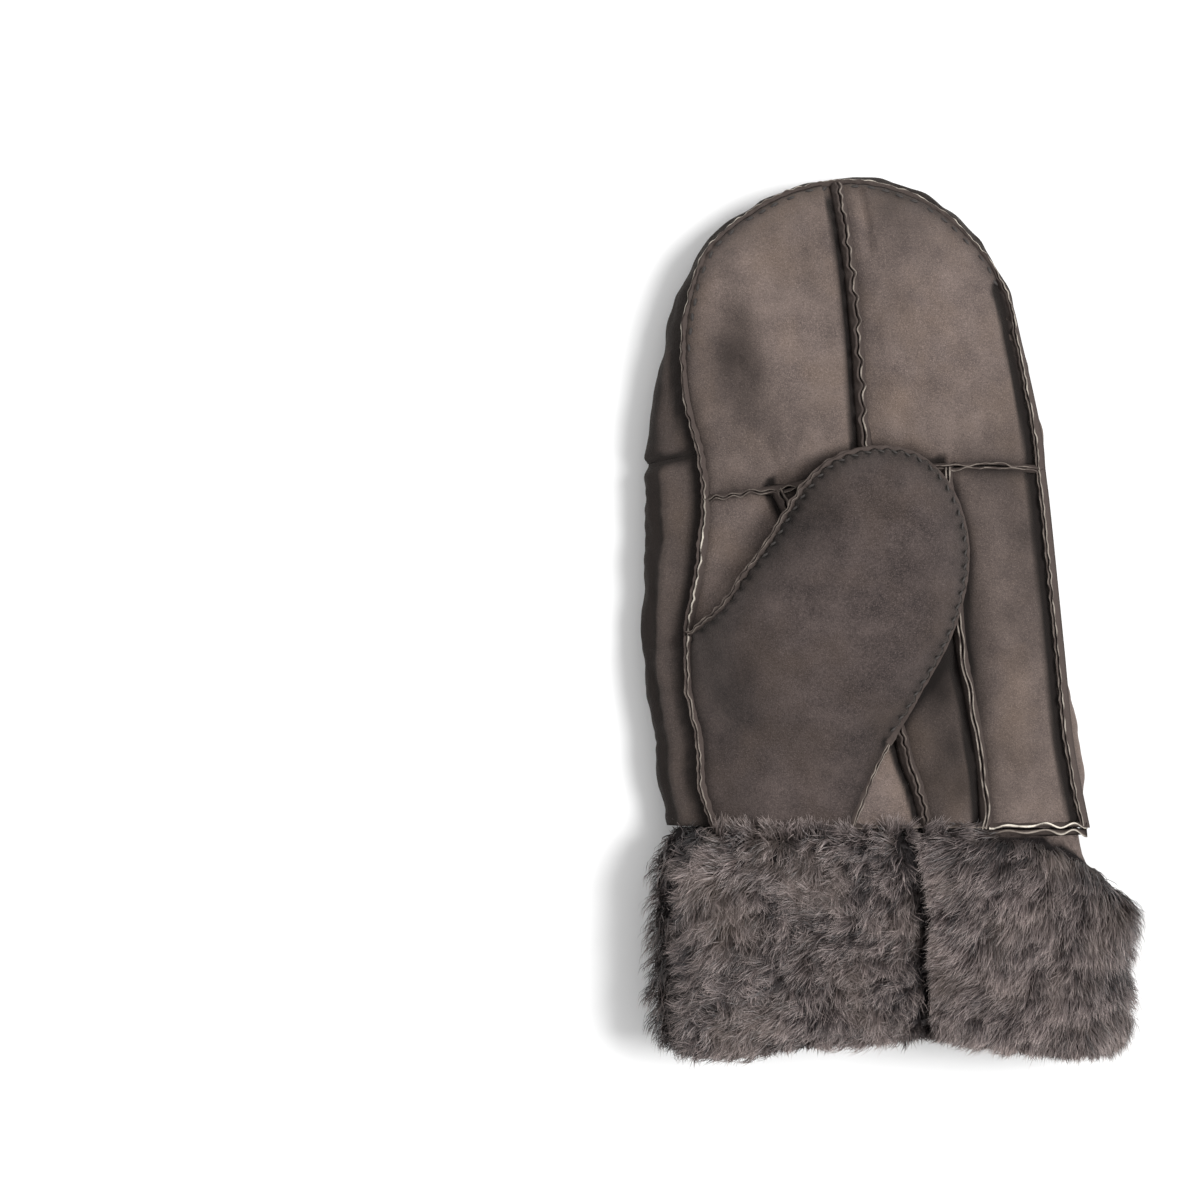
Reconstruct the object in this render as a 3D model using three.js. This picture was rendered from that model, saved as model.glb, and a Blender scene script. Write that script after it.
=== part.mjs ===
// A sheepskin mitten for a left hand, lying palm up on a table.
// Suede panels are sewn with their raw edges outward, the thumb lies over the palm,
// and a deep fur cuff in three pieces goes round the wrist. The mitten is hollow, thumb included.
// Millimetres. X runs across the palm, Y runs from the cuff to the fingertips, Z is up from the table.
// The origin lies on the flat underside of the back of the hand.
import * as THREE from "three";

// Hand
const HAND_LENGTH = 198; // wrist seam to fingertip seam
const HAND_WIDTH = 130; // outline of the hand seen from above
const HAND_DEPTH = 36; // table to the crown of the palm
const WRIST_Y = -63; // place of the wrist seam
const WALL = 2.4; // suede with its lining wool pressed flat
const SEAM_GAP = 0.6; // between the edges of two panels
const SEAM_STEP = 0.5; // between two edges that are sewn face to face, one above the other
const LIP = 2.2; // height of the raw edges that stand up along a seam
const LIP_WIDTH = 1.7; // width of one raw edge
const VALLEY_WIDTH = 6; // reach of the hollow on each side of a seam in the palm
const BACK_SEAM_HEIGHT = 5;
const BACK_TUCK = 5; // the back seam lies this far inside the outline
const BACK_ROUNDING = 14;

// Thumb
const THUMB_LIFT = 9; // thumb edge above the palm
const THUMB_BASE_LIFT = 5.2; // the same, near the palm
const THUMB_CROWN = 14; // thumb crown above its edge
const THUMB_ROUNDING = 26; // from the thumb's edge to its crown
const THUMB_BACK_WALL = 1.6; // panel between thumb and palm
const THUMB_ROOT_WALL = 1.6; // thumb panel where its edge meets the palm
const ROOT_REACH = 14; // the thumb's edge lifts off the palm over this length

// Cuff
const CUFF_LENGTH = 68; // wrist seam to the hem of the fur
const CUFF_WIDTH = 127; // across the hide, without its fur
const CUFF_CENTRE = -1; // X of the cuff's middle
const CUFF_OUTER_FLARE = 5; // the outer side is this much narrower at the wrist
const CUFF_UNDERSIDE = 4.5; // hide above the table
const CUFF_TOP_AT_WRIST = 35;
const CUFF_TOP_AT_HEM = 39;
const CUFF_SQUARENESS = 2.6; // exponent of the cuff's oval
const CUFF_WALL = 3; // two layers of thin hide
const FUR_DEPTH = 14;
const FUR_UNDERNEATH = 7; // fur below the cuff, pressed flat on the table
const LOCK_HEIGHT = 3.4;
const LOCK_UNEVENNESS = 0.35; // share by which some locks are higher and others lower
const SMALLEST_LOCK = 0.3;
const LOCK_COMB = 0.3; // how far a lock leans towards the hem, a share of its own length
const HEM_ROLL = 5; // fur that turns in at the mouth
const GROOVE_WIDTH = 9; // the fur parts along each seam of the cuff
const GROOVE_FUR = 0.5; // share of the fur's depth left in that groove

const { clamp, lerp, smoothstep } = THREE.MathUtils;

// The palm edge seam, from the wrist on the thumb side, over the fingertips, to the wrist on the outer side.
// across is a share of HAND_WIDTH, along a share of HAND_LENGTH from the wrist seam.
// flare is how far the side strip stands out beyond the seam, a share of HAND_WIDTH.
const RIM = [
  { name: "wrist_thumb_side", across: -0.415, along: 0.0, flare: 0.105 },
  { across: -0.445, along: 0.067, flare: 0.101 },
  { across: -0.45, along: 0.136, flare: 0.1 },
  { across: -0.472, along: 0.2, flare: 0.097 },
  { name: "thumb_start", across: -0.477, along: 0.296, flare: 0.104 },
  { across: -0.451, along: 0.403, flare: 0.126 },
  { name: "knuckle_thumb_side", across: -0.437, along: 0.508, flare: 0.134 },
  { name: "strip_seam_thumb_side", across: -0.449, along: 0.579, flare: 0.129 },
  { across: -0.477, along: 0.648, flare: 0.088 },
  { across: -0.489, along: 0.733, flare: 0.05 },
  { across: -0.477, along: 0.808, flare: 0.035 },
  { name: "dome_thumb_side", across: -0.427, along: 0.896, flare: 0.023 },
  { across: -0.331, along: 0.951, flare: 0.02 },
  { across: -0.235, along: 0.984, flare: 0.014 },
  { name: "tip", across: -0.127, along: 1.0, flare: 0.008 },
  { across: -0.015, along: 0.993, flare: 0.008 },
  { across: 0.098, along: 0.962, flare: 0.01 },
  { name: "dome_outer_side", across: 0.204, along: 0.898, flare: 0.012 },
  { across: 0.268, along: 0.829, flare: 0.012 },
  { across: 0.298, along: 0.742, flare: 0.013 },
  { name: "strip_seam_outer_side", across: 0.342, along: 0.591, flare: 0.017 },
  { name: "knuckle_outer_side", across: 0.348, along: 0.553, flare: 0.018 },
  { across: 0.369, along: 0.419, flare: 0.021 },
  { across: 0.392, along: 0.268, flare: 0.024 },
  { across: 0.414, along: 0.126, flare: 0.022 },
  { name: "wrist_outer_side", across: 0.451, along: 0.0, flare: 0.014 },
];
const RIM_RISE = { wrist: 0.74, tip: 0.52, from: 0.6 }; // height of that seam, a share of HAND_DEPTH

// Seams inside the palm, same shares
const FINGER_SEAM = [
  { across: -0.06, along: 0.548 },
  { across: -0.073, along: 0.65 },
  { across: -0.082, along: 0.75 },
  { across: -0.099, along: 0.86 },
  { across: -0.115, along: 0.94 },
  { across: -0.127, along: 1.0 },
];
const KNUCKLE_SEAM = [
  { name: "thumb_side", across: -0.437, along: 0.508 },
  { across: -0.35, along: 0.516 },
  { name: "thumb_seam", across: -0.269, along: 0.522 },
  { name: "finger_seam", across: -0.06, along: 0.548 },
  { name: "outer_seam", across: 0.126, along: 0.556 },
  { across: 0.24, along: 0.558 },
  { name: "outer_side", across: 0.348, along: 0.553 },
];
const THUMB_SEAM = [
  { across: 0.082, along: 0.0 },
  { across: 0.056, along: 0.068 },
  { across: 0.034, along: 0.105 },
  { across: 0.012, along: 0.16 },
  { across: -0.086, along: 0.29 },
  { across: -0.2, along: 0.43 },
  { across: -0.269, along: 0.522 },
];
const OUTER_SEAM = [
  { across: 0.22, along: 0.0 },
  { across: 0.208, along: 0.1 },
  { across: 0.184, along: 0.2 },
  { across: 0.159, along: 0.286 },
  { across: 0.15, along: 0.36 },
  { across: 0.142, along: 0.45 },
  { across: 0.126, along: 0.556 },
];

// The thumb's edge: from the palm edge seam, round the tip, to the palm again, then down to the wrist.
const THUMB_EDGE = [
  { name: "start", across: -0.477, along: 0.296 },
  { across: -0.4, along: 0.34 },
  { name: "back_from", across: -0.35, along: 0.387 },
  { across: -0.29, along: 0.44 },
  { name: "tip_from", across: -0.212, along: 0.52 },
  { across: -0.145, along: 0.563 },
  { across: -0.045, along: 0.583 },
  { across: 0.05, along: 0.573 },
  { name: "tip_to", across: 0.12, along: 0.532 },
  { across: 0.162, along: 0.465 },
  { across: 0.167, along: 0.395 },
  { across: 0.13, along: 0.3 },
  { name: "back_to", across: 0.056, along: 0.207 },
  { name: "end", across: -0.013, along: 0.131 },
  { across: -0.055, along: 0.075 },
  { name: "wrist", across: -0.1, along: 0.0 },
];
// Where the palm is cut open for the thumb, under it.
const THUMB_MOUTH = [
  { across: -0.477, along: 0.296 },
  { across: -0.33, along: 0.262 },
  { across: -0.16, along: 0.222 },
  { across: -0.013, along: 0.131 },
];
// The lower edge of the panel between thumb and palm.
const THUMB_WEB = [
  { across: -0.35, along: 0.387 },
  { across: -0.27, along: 0.315 },
  { across: -0.12, along: 0.262 },
  { across: 0.056, along: 0.207 },
];
const THUMB_AXIS = { from: { across: -0.277, along: 0.091 }, to: { across: 0.062, along: 0.571 } };
// Shares of the thumb's axis over which its base lift, its full lift and its crown grow.
const THUMB_GROWTH = { base: [0, 0.21], lift: [0.21, 0.48], crown: [-0.24, 0.57] };

// Soft hollows of the palm side. size is a share of HAND_WIDTH, depth a share of HAND_DEPTH.
const DENTS = [
  { across: -0.4, along: 0.77, size: 0.1, depth: 0.06 },
  { across: -0.28, along: 0.83, size: 0.08, depth: 0.04 },
  { across: 0.02, along: 0.6, size: 0.12, depth: 0.06 },
  { across: 0.18, along: 0.78, size: 0.07, depth: 0.04 },
  { across: 0.3, along: 0.5, size: 0.09, depth: 0.04 },
  { across: 0.1, along: 0.2, size: 0.09, depth: 0.09 },
  { across: 0.34, along: 0.2, size: 0.08, depth: 0.04 },
];
// The palm also sinks where the thumb's edge meets it.
const THUMB_ROOTS = [
  { across: -0.477, along: 0.296, size: 0.085, depth: 0.067 },
  { across: -0.013, along: 0.131, size: 0.085, depth: 0.067 },
];

// A slice through the cuff from the wrist to the hem. down is a share of CUFF_LENGTH, fur of FUR_DEPTH,
// lock of LOCK_HEIGHT and roll of HEM_ROLL.
const CUFF_SLICE = [
  { down: 0.0, fur: 0.1, lock: 0, roll: 0 },
  { down: 0.05, fur: 0.45, lock: 0.5, roll: 0 },
  { down: 0.13, fur: 0.7, lock: 1, roll: 0 },
  { down: 0.25, fur: 0.78, lock: 1, roll: 0 },
  { down: 0.37, fur: 0.8, lock: 1, roll: 0 },
  { down: 0.49, fur: 0.8, lock: 1, roll: 0 },
  { down: 0.61, fur: 0.8, lock: 1, roll: 0.1 },
  { down: 0.73, fur: 0.79, lock: 1, roll: 0.35 },
  { down: 0.84, fur: 0.73, lock: 1, roll: 0.65 },
  { down: 0.93, fur: 0.52, lock: 0.8, roll: 0.85 },
  { down: 1.0, fur: 0.12, lock: 0, roll: 0.55 },
];
// How far the hem reaches, by turns round the cuff from the outer side over the palm side.
const HEM_REACH = [
  { turn: 0.0, reach: 1.03 },
  { turn: 0.06, reach: 1.03 },
  { turn: 0.118, reach: 1.0 },
  { turn: 0.185, reach: 0.95 },
  { turn: 0.216, reach: 0.93 },
  { turn: 0.277, reach: 0.965 },
  { turn: 0.348, reach: 0.98 },
  { turn: 0.409, reach: 1.03 },
  { turn: 0.46, reach: 1.03 },
  { turn: 0.52, reach: 1.0 },
  { turn: 0.75, reach: 0.97 },
  { turn: 0.94, reach: 1.0 },
  { turn: 1.0, reach: 1.03 },
];
const CUFF_PIECES = [
  { name: "cuff_front_outer", from: -0.055, to: 0.205, locks: 11 },
  { name: "cuff_front_thumb", from: 0.205, to: 0.475, locks: 12 },
  { name: "cuff_back", from: 0.475, to: 0.945, locks: 18 },
];

// Places and curves
const handPoint = (row) => new THREE.Vector2(row.across * HAND_WIDTH, WRIST_Y + row.along * HAND_LENGTH);
const shareAlong = (y) => (y - WRIST_Y) / HAND_LENGTH;
const at = (rows, name) => rows.findIndex((row) => row.name === name) / (rows.length - 1);

// A smooth curve through a table's places. Equal steps of its parameter go from row to row.
function curveThrough(rows) {
  const points = rows.map(handPoint).map((p) => new THREE.Vector3(p.x, p.y, 0));
  const curve = new THREE.CatmullRomCurve3(points, false, "centripetal");
  return (t) => {
    const p = curve.getPoint(clamp(t, 0, 1));
    return new THREE.Vector2(p.x, p.y);
  };
}

const stretch = (curve, from, to) => (t) => curve(lerp(from, to, t));
const straight = (a, b) => (t) => a.clone().lerp(b, t);
const polyline = (curve, steps = 60) => Array.from({ length: steps + 1 }, (_, i) => curve(i / steps));
const lengthOf = (line) => line.slice(1).reduce((sum, p, i) => sum + p.distanceTo(line[i]), 0);

// The same curve with a parameter that follows its length.
function evenly(curve, steps = 80) {
  const line = polyline(curve, steps);
  const lengths = [0];
  for (let i = 1; i <= steps; i++) {
    lengths.push(lengths[i - 1] + line[i].distanceTo(line[i - 1]));
  }
  return (t) => {
    const wanted = t * lengths[steps];
    let i = 1;
    while (i < steps && lengths[i] < wanted) i++;
    return curve((i - 1 + (wanted - lengths[i - 1]) / (lengths[i] - lengths[i - 1])) / steps);
  };
}

// One curve after another, each with its own share of the parameter.
function chained(curves, ends) {
  return (t) => {
    const i = ends.findIndex((end) => t <= end);
    const start = i > 0 ? ends[i - 1] : 0;
    return curves[i]((t - start) / (ends[i] - start));
  };
}

function distanceToLine(p, line) {
  let best = Infinity;
  for (let i = 1; i < line.length; i++) {
    const a = line[i - 1];
    const step = line[i].clone().sub(a);
    const share = clamp(p.clone().sub(a).dot(step) / step.lengthSq(), 0, 1);
    best = Math.min(best, p.distanceTo(a.clone().addScaledVector(step, share)));
  }
  return best;
}
const distanceToLines = (p, lines) => Math.min(...lines.map((line) => distanceToLine(p, line)));

const rim = curveThrough(RIM);
const knuckles = curveThrough(KNUCKLE_SEAM);
const fingerSeam = curveThrough(FINGER_SEAM);
const thumbSeam = curveThrough(THUMB_SEAM);
const outerSeam = curveThrough(OUTER_SEAM);
const thumbEdge = curveThrough(THUMB_EDGE);
const thumbMouth = curveThrough(THUMB_MOUTH);
const thumbWeb = curveThrough(THUMB_WEB);
const rimAt = (name) => at(RIM, name);
const edgeAt = (name) => at(THUMB_EDGE, name);
const knuckleAt = (name) => at(KNUCKLE_SEAM, name);

// Outward from the palm edge seam, square to it, but straight across at the wrist.
function rimOutward(t) {
  const step = 0.004;
  const along = rim(t + step).sub(rim(t - step)).normalize();
  const fromEnd = Math.min(t, 1 - t) * (RIM.length - 1);
  const across = new THREE.Vector2(t < 0.5 ? -1 : 1, 0);
  return new THREE.Vector2(-along.y, along.x).lerp(across, 1 - smoothstep(fromEnd, 0, 2.5)).normalize();
}

const flareCurve = new THREE.CatmullRomCurve3(
  RIM.map((row, i) => new THREE.Vector3(i, row.flare * HAND_WIDTH, 0)),
  false,
  "centripetal",
);
const flare = (t) => flareCurve.getPoint(clamp(t, 0, 1)).y;
const besideRim = (t, outward) => rim(t).addScaledVector(rimOutward(t), outward);
const backSeam = (t) => besideRim(t, flare(t) - BACK_TUCK);

const rimLine = polyline(rim, 150);
const backLine = polyline(backSeam, 150);
const palmSeamLines = [knuckles, fingerSeam, thumbSeam, outerSeam].map((curve) => polyline(curve));

// Surfaces

// Rises steeply from 0 at an edge to 1, as the side of a padded panel does.
const pillow = (share, power) => (1 - (1 - clamp(share, 0, 1)) ** 2.4) ** power;

const dip = (p, rows) =>
  rows.reduce((sum, row) => {
    const away = p.distanceTo(handPoint(row)) / (row.size * HAND_WIDTH);
    return sum + row.depth * HAND_DEPTH * Math.exp(-away * away);
  }, 0);

const rimHeight = (y) =>
  HAND_DEPTH * lerp(RIM_RISE.wrist, RIM_RISE.tip, smoothstep(shareAlong(y), RIM_RISE.from, 1));

// The padded palm side, without its seams.
function palmForm(p) {
  const edge = distanceToLine(p, rimLine);
  const crown = (HAND_DEPTH - rimHeight(p.y)) * pillow(edge / (0.32 * HAND_WIDTH), 0.8);
  return rimHeight(p.y) + crown - dip(p, DENTS) * clamp(edge / 10, 0, 1);
}

// The palm panels' outer face, sunk along the seams and under the thumb's roots.
function palmFace(p) {
  const seam = distanceToLines(p, palmSeamLines) / VALLEY_WIDTH;
  return palmForm(p) - LIP * Math.exp(-seam * seam) - dip(p, THUMB_ROOTS);
}

// The back's outer face: flat on the table and turned up along its seam.
const backFace = (p) => BACK_SEAM_HEIGHT * (1 - pillow(distanceToLine(p, backLine) / BACK_ROUNDING, 1));

const thumbFrom = handPoint(THUMB_AXIS.from);
const thumbAxis = handPoint(THUMB_AXIS.to).sub(thumbFrom);
const alongThumb = (p) => p.clone().sub(thumbFrom).dot(thumbAxis) / thumbAxis.lengthSq();
const rimUnderThumb = polyline(stretch(rim, 0, rimAt("thumb_start")));
const freeEdge = polyline(stretch(thumbEdge, 0, edgeAt("end")), 90);
const crease = polyline(stretch(thumbEdge, edgeAt("end"), 1));
const roots = THUMB_ROOTS.map(handPoint);

function thumbLift(p) {
  const grown = ([from, to]) => smoothstep(alongThumb(p), from, to);
  const full =
    THUMB_BASE_LIFT * grown(THUMB_GROWTH.base) + (THUMB_LIFT - THUMB_BASE_LIFT) * grown(THUMB_GROWTH.lift);
  return full * smoothstep(distanceToLines(p, [rimUnderThumb, crease]), 0, ROOT_REACH);
}

// The thumb's outer face.
function thumbFace(p) {
  const edge = distanceToLines(p, [rimUnderThumb, freeEdge, crease]);
  const crown = THUMB_CROWN * smoothstep(alongThumb(p), ...THUMB_GROWTH.crown);
  return palmForm(p) + thumbLift(p) + crown * pillow(edge / THUMB_ROUNDING, 0.75);
}

function thumbInside(p) {
  const fromRoot = Math.min(...roots.map((root) => p.distanceTo(root)));
  return thumbFace(p) - lerp(THUMB_ROOT_WALL, WALL, smoothstep(fromRoot, 0, 12));
}

// The face that lies on the palm, turned up to the thumb's edge.
function thumbUnderside(p) {
  const turnedUp = 1 - smoothstep(distanceToLine(p, freeEdge), 0, 9);
  return palmForm(p) + SEAM_STEP + turnedUp * (thumbLift(p) - 2 * SEAM_STEP);
}

// Closed bodies

function facingOut(positions, triangles) {
  const corner = (i) => new THREE.Vector3().fromArray(positions, 3 * triangles[i]);
  let volume = 0;
  for (let i = 0; i < triangles.length; i += 3) {
    volume += corner(i).dot(corner(i + 1).cross(corner(i + 2)));
  }
  if (volume < 0) {
    for (let i = 0; i < triangles.length; i += 3) {
      [triangles[i + 1], triangles[i + 2]] = [triangles[i + 2], triangles[i + 1]];
    }
  }
  const geometry = new THREE.BufferGeometry();
  geometry.setAttribute("position", new THREE.Float32BufferAttribute(positions, 3));
  geometry.setIndex(triangles);
  geometry.computeVertexNormals();
  return geometry;
}

// A body between two grids of points, with a wall round their edge. A peak is a point that stands
// over a cell of the outer grid.
function bodyBetween(outer, inner, peaks = []) {
  const rows = outer.length;
  const columns = outer[0].length;
  const points = [...outer.flat(), ...inner.flat()];
  const id = (face, row, column) => (face * rows + row) * columns + column;
  const triangles = [];
  const quad = (a, b, c, d) => triangles.push(a, b, c, a, c, d);
  for (let r = 0; r < rows - 1; r++) {
    for (let c = 0; c < columns - 1; c++) {
      const ring = [id(0, r, c), id(0, r, c + 1), id(0, r + 1, c + 1), id(0, r + 1, c)];
      const peak = peaks[r]?.[c];
      if (peak) {
        ring.forEach((corner, i) => triangles.push(corner, ring[(i + 1) % 4], points.length));
        points.push(peak);
      } else {
        quad(...ring);
      }
      quad(id(1, r, c), id(1, r + 1, c), id(1, r + 1, c + 1), id(1, r, c + 1));
    }
  }
  const last = { row: rows - 1, column: columns - 1 };
  for (let c = 0; c < columns - 1; c++) {
    quad(id(0, 0, c), id(1, 0, c), id(1, 0, c + 1), id(0, 0, c + 1));
    quad(id(0, last.row, c), id(0, last.row, c + 1), id(1, last.row, c + 1), id(1, last.row, c));
  }
  for (let r = 0; r < rows - 1; r++) {
    quad(id(0, r, 0), id(0, r + 1, 0), id(1, r + 1, 0), id(1, r, 0));
    quad(id(0, r, last.column), id(1, r, last.column), id(1, r + 1, last.column), id(0, r + 1, last.column));
  }
  return facingOut(points.flatMap((p) => [p.x, p.y, p.z]), triangles);
}

// Suede panels

// The offset of a corner that lies as far inside each of two sides as their own offsets do.
function mitre(a, b) {
  const turn = a.cross(b) / (a.length() * b.length());
  if (Math.abs(turn) < 0.25) return a.clone().lerp(b, 0.5);
  const [ofA, ofB] = [a.lengthSq() / a.cross(b), b.lengthSq() / a.cross(b)];
  return new THREE.Vector2(ofA * b.y - ofB * a.y, ofB * a.x - ofA * b.x);
}

// The plan of a four-sided panel between four curves, each moved inward by inset(side, t).
// bottom and top run across, left and right run up.
function planOf(sides, inset) {
  const centre = new THREE.Vector2();
  Object.values(sides).forEach((side) => centre.addScaledVector(side(0.5), 0.25));
  const inward = {};
  for (const [name, side] of Object.entries(sides)) {
    const normal = (t) => {
      const along = side(Math.min(t + 0.01, 1)).sub(side(Math.max(t - 0.01, 0))).normalize();
      return new THREE.Vector2(-along.y, along.x);
    };
    const sign = Math.sign(normal(0.5).dot(centre.clone().sub(side(0.5)))) || 1;
    inward[name] = (t) => normal(t).multiplyScalar(sign * inset(name, t));
  }
  const corner = (a, ta, b, tb) => sides[a](ta).add(mitre(inward[a](ta), inward[b](tb)));
  const corners = {
    bottomLeft: corner("bottom", 0, "left", 0),
    bottomRight: corner("bottom", 1, "right", 0),
    topLeft: corner("top", 0, "left", 1),
    topRight: corner("top", 1, "right", 1),
  };
  const moved = (name, first, last) => {
    const here = (t) => sides[name](t).add(inward[name](t));
    const startError = first.clone().sub(here(0));
    const endError = last.clone().sub(here(1));
    return (t) => here(t).addScaledVector(startError, 1 - t).addScaledVector(endError, t);
  };
  const bottom = moved("bottom", corners.bottomLeft, corners.bottomRight);
  const top = moved("top", corners.topLeft, corners.topRight);
  const left = moved("left", corners.bottomLeft, corners.topLeft);
  const right = moved("right", corners.bottomRight, corners.topRight);
  return (s, t) => {
    const p = bottom(s).multiplyScalar(1 - t).addScaledVector(top(s), t);
    p.addScaledVector(left(t), 1 - s).addScaledVector(right(t), s);
    p.addScaledVector(corners.bottomLeft, -(1 - s) * (1 - t));
    p.addScaledVector(corners.bottomRight, -s * (1 - t));
    return p.addScaledVector(corners.topLeft, -(1 - s) * t).addScaledVector(corners.topRight, -s * t);
  };
}

// Shares from 0 to 1 in even steps, with a narrow first and last step for the raw edges.
function stepsWithEdges(count, length) {
  const edge = LIP_WIDTH / length;
  return [0, ...Array.from({ length: count + 1 }, (_, i) => lerp(edge, 1 - edge, i / count)), 1];
}

// face and inside give the heights of the two faces. folded names the sides that are sewn face to face
// with their neighbour, so that the inner face ends further in. lips names the sides with standing edges.
function suedePanel({ sides, face, inside, folded = {}, lips = [], columns, rows }) {
  const isFolded = (name, t) => (folded[name] instanceof Function ? folded[name](t) : Number(!!folded[name]));
  const outerPlan = planOf(sides, () => SEAM_GAP / 2);
  const innerPlan = planOf(sides, (name, t) => SEAM_GAP / 2 + WALL * isFolded(name, t));
  const shares = {
    across: stepsWithEdges(columns, lengthOf(polyline((s) => outerPlan(s, 0.5), 20))),
    along: stepsWithEdges(rows, lengthOf(polyline((t) => outerPlan(0.5, t), 20))),
  };
  const onSide = {
    left: (s) => s === 0,
    right: (s) => s === 1,
    bottom: (s, t) => t === 0,
    top: (s, t) => t === 1,
  };
  const onFoldedSide = (s, t) => ["left", "right", "top"].some((name) => onSide[name](s, t));
  const lipLines = lips.map((name) => polyline(sides[name]));
  const lipHeight = (p) => {
    const fromEdge = distanceToLines(p, lipLines) - SEAM_GAP / 2;
    return LIP * (1 - smoothstep(fromEdge, 0, LIP_WIDTH));
  };
  const grid = (make) => shares.along.map((t) => shares.across.map((s) => make(s, t)));
  const outer = grid((s, t) => {
    const p = outerPlan(s, t);
    return new THREE.Vector3(p.x, p.y, face(p) + lipHeight(p));
  });
  const inner = grid((s, t) => {
    const p = innerPlan(s, t);
    return new THREE.Vector3(p.x, p.y, inside(p, onFoldedSide(s, t) && t > 0));
  });
  return bodyBetween(outer, inner);
}

const palmInside = (p) => palmFace(p) - WALL;
const backInside = (p) => backFace(p) + WALL;
const wrist = {
  thumbSide: rim(0),
  crease: thumbEdge(1),
  thumbSeam: thumbSeam(0),
  outerSeam: outerSeam(0),
  outerSide: rim(1),
};

const fingerFrontThumbSide = suedePanel({
  sides: {
    bottom: evenly(stretch(knuckles, 0, knuckleAt("finger_seam"))),
    top: evenly(stretch(rim, rimAt("dome_thumb_side"), rimAt("tip"))),
    left: evenly(stretch(rim, rimAt("knuckle_thumb_side"), rimAt("dome_thumb_side"))),
    right: evenly(fingerSeam),
  },
  face: palmFace,
  inside: palmInside,
  folded: { top: true, left: true },
  lips: ["bottom", "top", "left", "right"],
  columns: 10,
  rows: 12,
});

const fingerFrontOuterSide = suedePanel({
  sides: {
    bottom: evenly(stretch(knuckles, knuckleAt("finger_seam"), 1)),
    top: evenly(stretch(rim, rimAt("tip"), rimAt("dome_outer_side"))),
    left: evenly(fingerSeam),
    right: evenly(stretch(rim, rimAt("knuckle_outer_side"), rimAt("dome_outer_side"))),
  },
  face: palmFace,
  inside: palmInside,
  folded: { top: true, right: true },
  lips: ["bottom", "top", "left", "right"],
  columns: 10,
  rows: 12,
});

const palmUnderThumb = suedePanel({
  sides: {
    bottom: straight(wrist.crease, wrist.thumbSeam),
    top: evenly(stretch(knuckles, 0, knuckleAt("thumb_seam"))),
    left: chained(
      [
        evenly(stretch(thumbEdge, 1, edgeAt("end"))),
        evenly((t) => thumbMouth(1 - t)),
        evenly(stretch(rim, rimAt("thumb_start"), rimAt("knuckle_thumb_side"))),
      ],
      [0.24, 0.68, 1],
    ),
    right: evenly(thumbSeam),
  },
  face: palmFace,
  inside: palmInside,
  folded: { left: (t) => smoothstep(t, 0.66, 0.74) },
  lips: ["bottom", "top", "right"],
  columns: 4,
  rows: 14,
});

const palmMiddle = suedePanel({
  sides: {
    bottom: straight(wrist.thumbSeam, wrist.outerSeam),
    top: evenly(stretch(knuckles, knuckleAt("thumb_seam"), knuckleAt("outer_seam"))),
    left: evenly(thumbSeam),
    right: evenly(outerSeam),
  },
  face: palmFace,
  inside: palmInside,
  lips: ["bottom", "top", "left", "right"],
  columns: 4,
  rows: 9,
});

const palmOuter = suedePanel({
  sides: {
    bottom: straight(wrist.outerSeam, wrist.outerSide),
    top: evenly(stretch(knuckles, knuckleAt("outer_seam"), 1)),
    left: evenly(outerSeam),
    right: evenly(stretch(rim, 1, rimAt("knuckle_outer_side"))),
  },
  face: palmFace,
  inside: palmInside,
  folded: { right: true },
  lips: ["bottom", "top", "left", "right"],
  columns: 4,
  rows: 9,
});

const thumbFront = suedePanel({
  sides: {
    bottom: straight(wrist.thumbSide, wrist.crease),
    top: evenly(stretch(thumbEdge, edgeAt("tip_from"), edgeAt("tip_to"))),
    left: chained(
      [evenly(stretch(rim, 0, rimAt("thumb_start"))), evenly(stretch(thumbEdge, 0, edgeAt("tip_from")))],
      [0.5, 1],
    ),
    right: chained(
      [
        evenly(stretch(thumbEdge, 1, edgeAt("end"))),
        evenly(stretch(thumbEdge, edgeAt("end"), edgeAt("tip_to"))),
      ],
      [0.25, 1],
    ),
  },
  face: thumbFace,
  inside: thumbInside,
  folded: { left: true, top: true, right: (t) => smoothstep(t, 0.25, 0.35) },
  lips: ["bottom"],
  columns: 8,
  rows: 14,
});

const thumbBack = suedePanel({
  sides: {
    bottom: evenly(thumbWeb),
    top: evenly(stretch(thumbEdge, edgeAt("tip_from"), edgeAt("tip_to"))),
    left: evenly(stretch(thumbEdge, edgeAt("back_from"), edgeAt("tip_from"))),
    right: evenly(stretch(thumbEdge, edgeAt("back_to"), edgeAt("tip_to"))),
  },
  face: thumbUnderside,
  inside: (p, atEdge) => (atEdge ? thumbInside(p) - SEAM_STEP : thumbUnderside(p) + THUMB_BACK_WALL),
  folded: { left: true, top: true, right: true },
  columns: 10,
  rows: 12,
});

const backHand = suedePanel({
  sides: {
    bottom: straight(backSeam(0), backSeam(1)),
    top: straight(backSeam(rimAt("strip_seam_thumb_side")), backSeam(rimAt("strip_seam_outer_side"))),
    left: evenly(stretch(backSeam, 0, rimAt("strip_seam_thumb_side"))),
    right: evenly(stretch(backSeam, 1, rimAt("strip_seam_outer_side"))),
  },
  face: backFace,
  inside: backInside,
  folded: { left: true, right: true },
  columns: 12,
  rows: 9,
});

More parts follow.
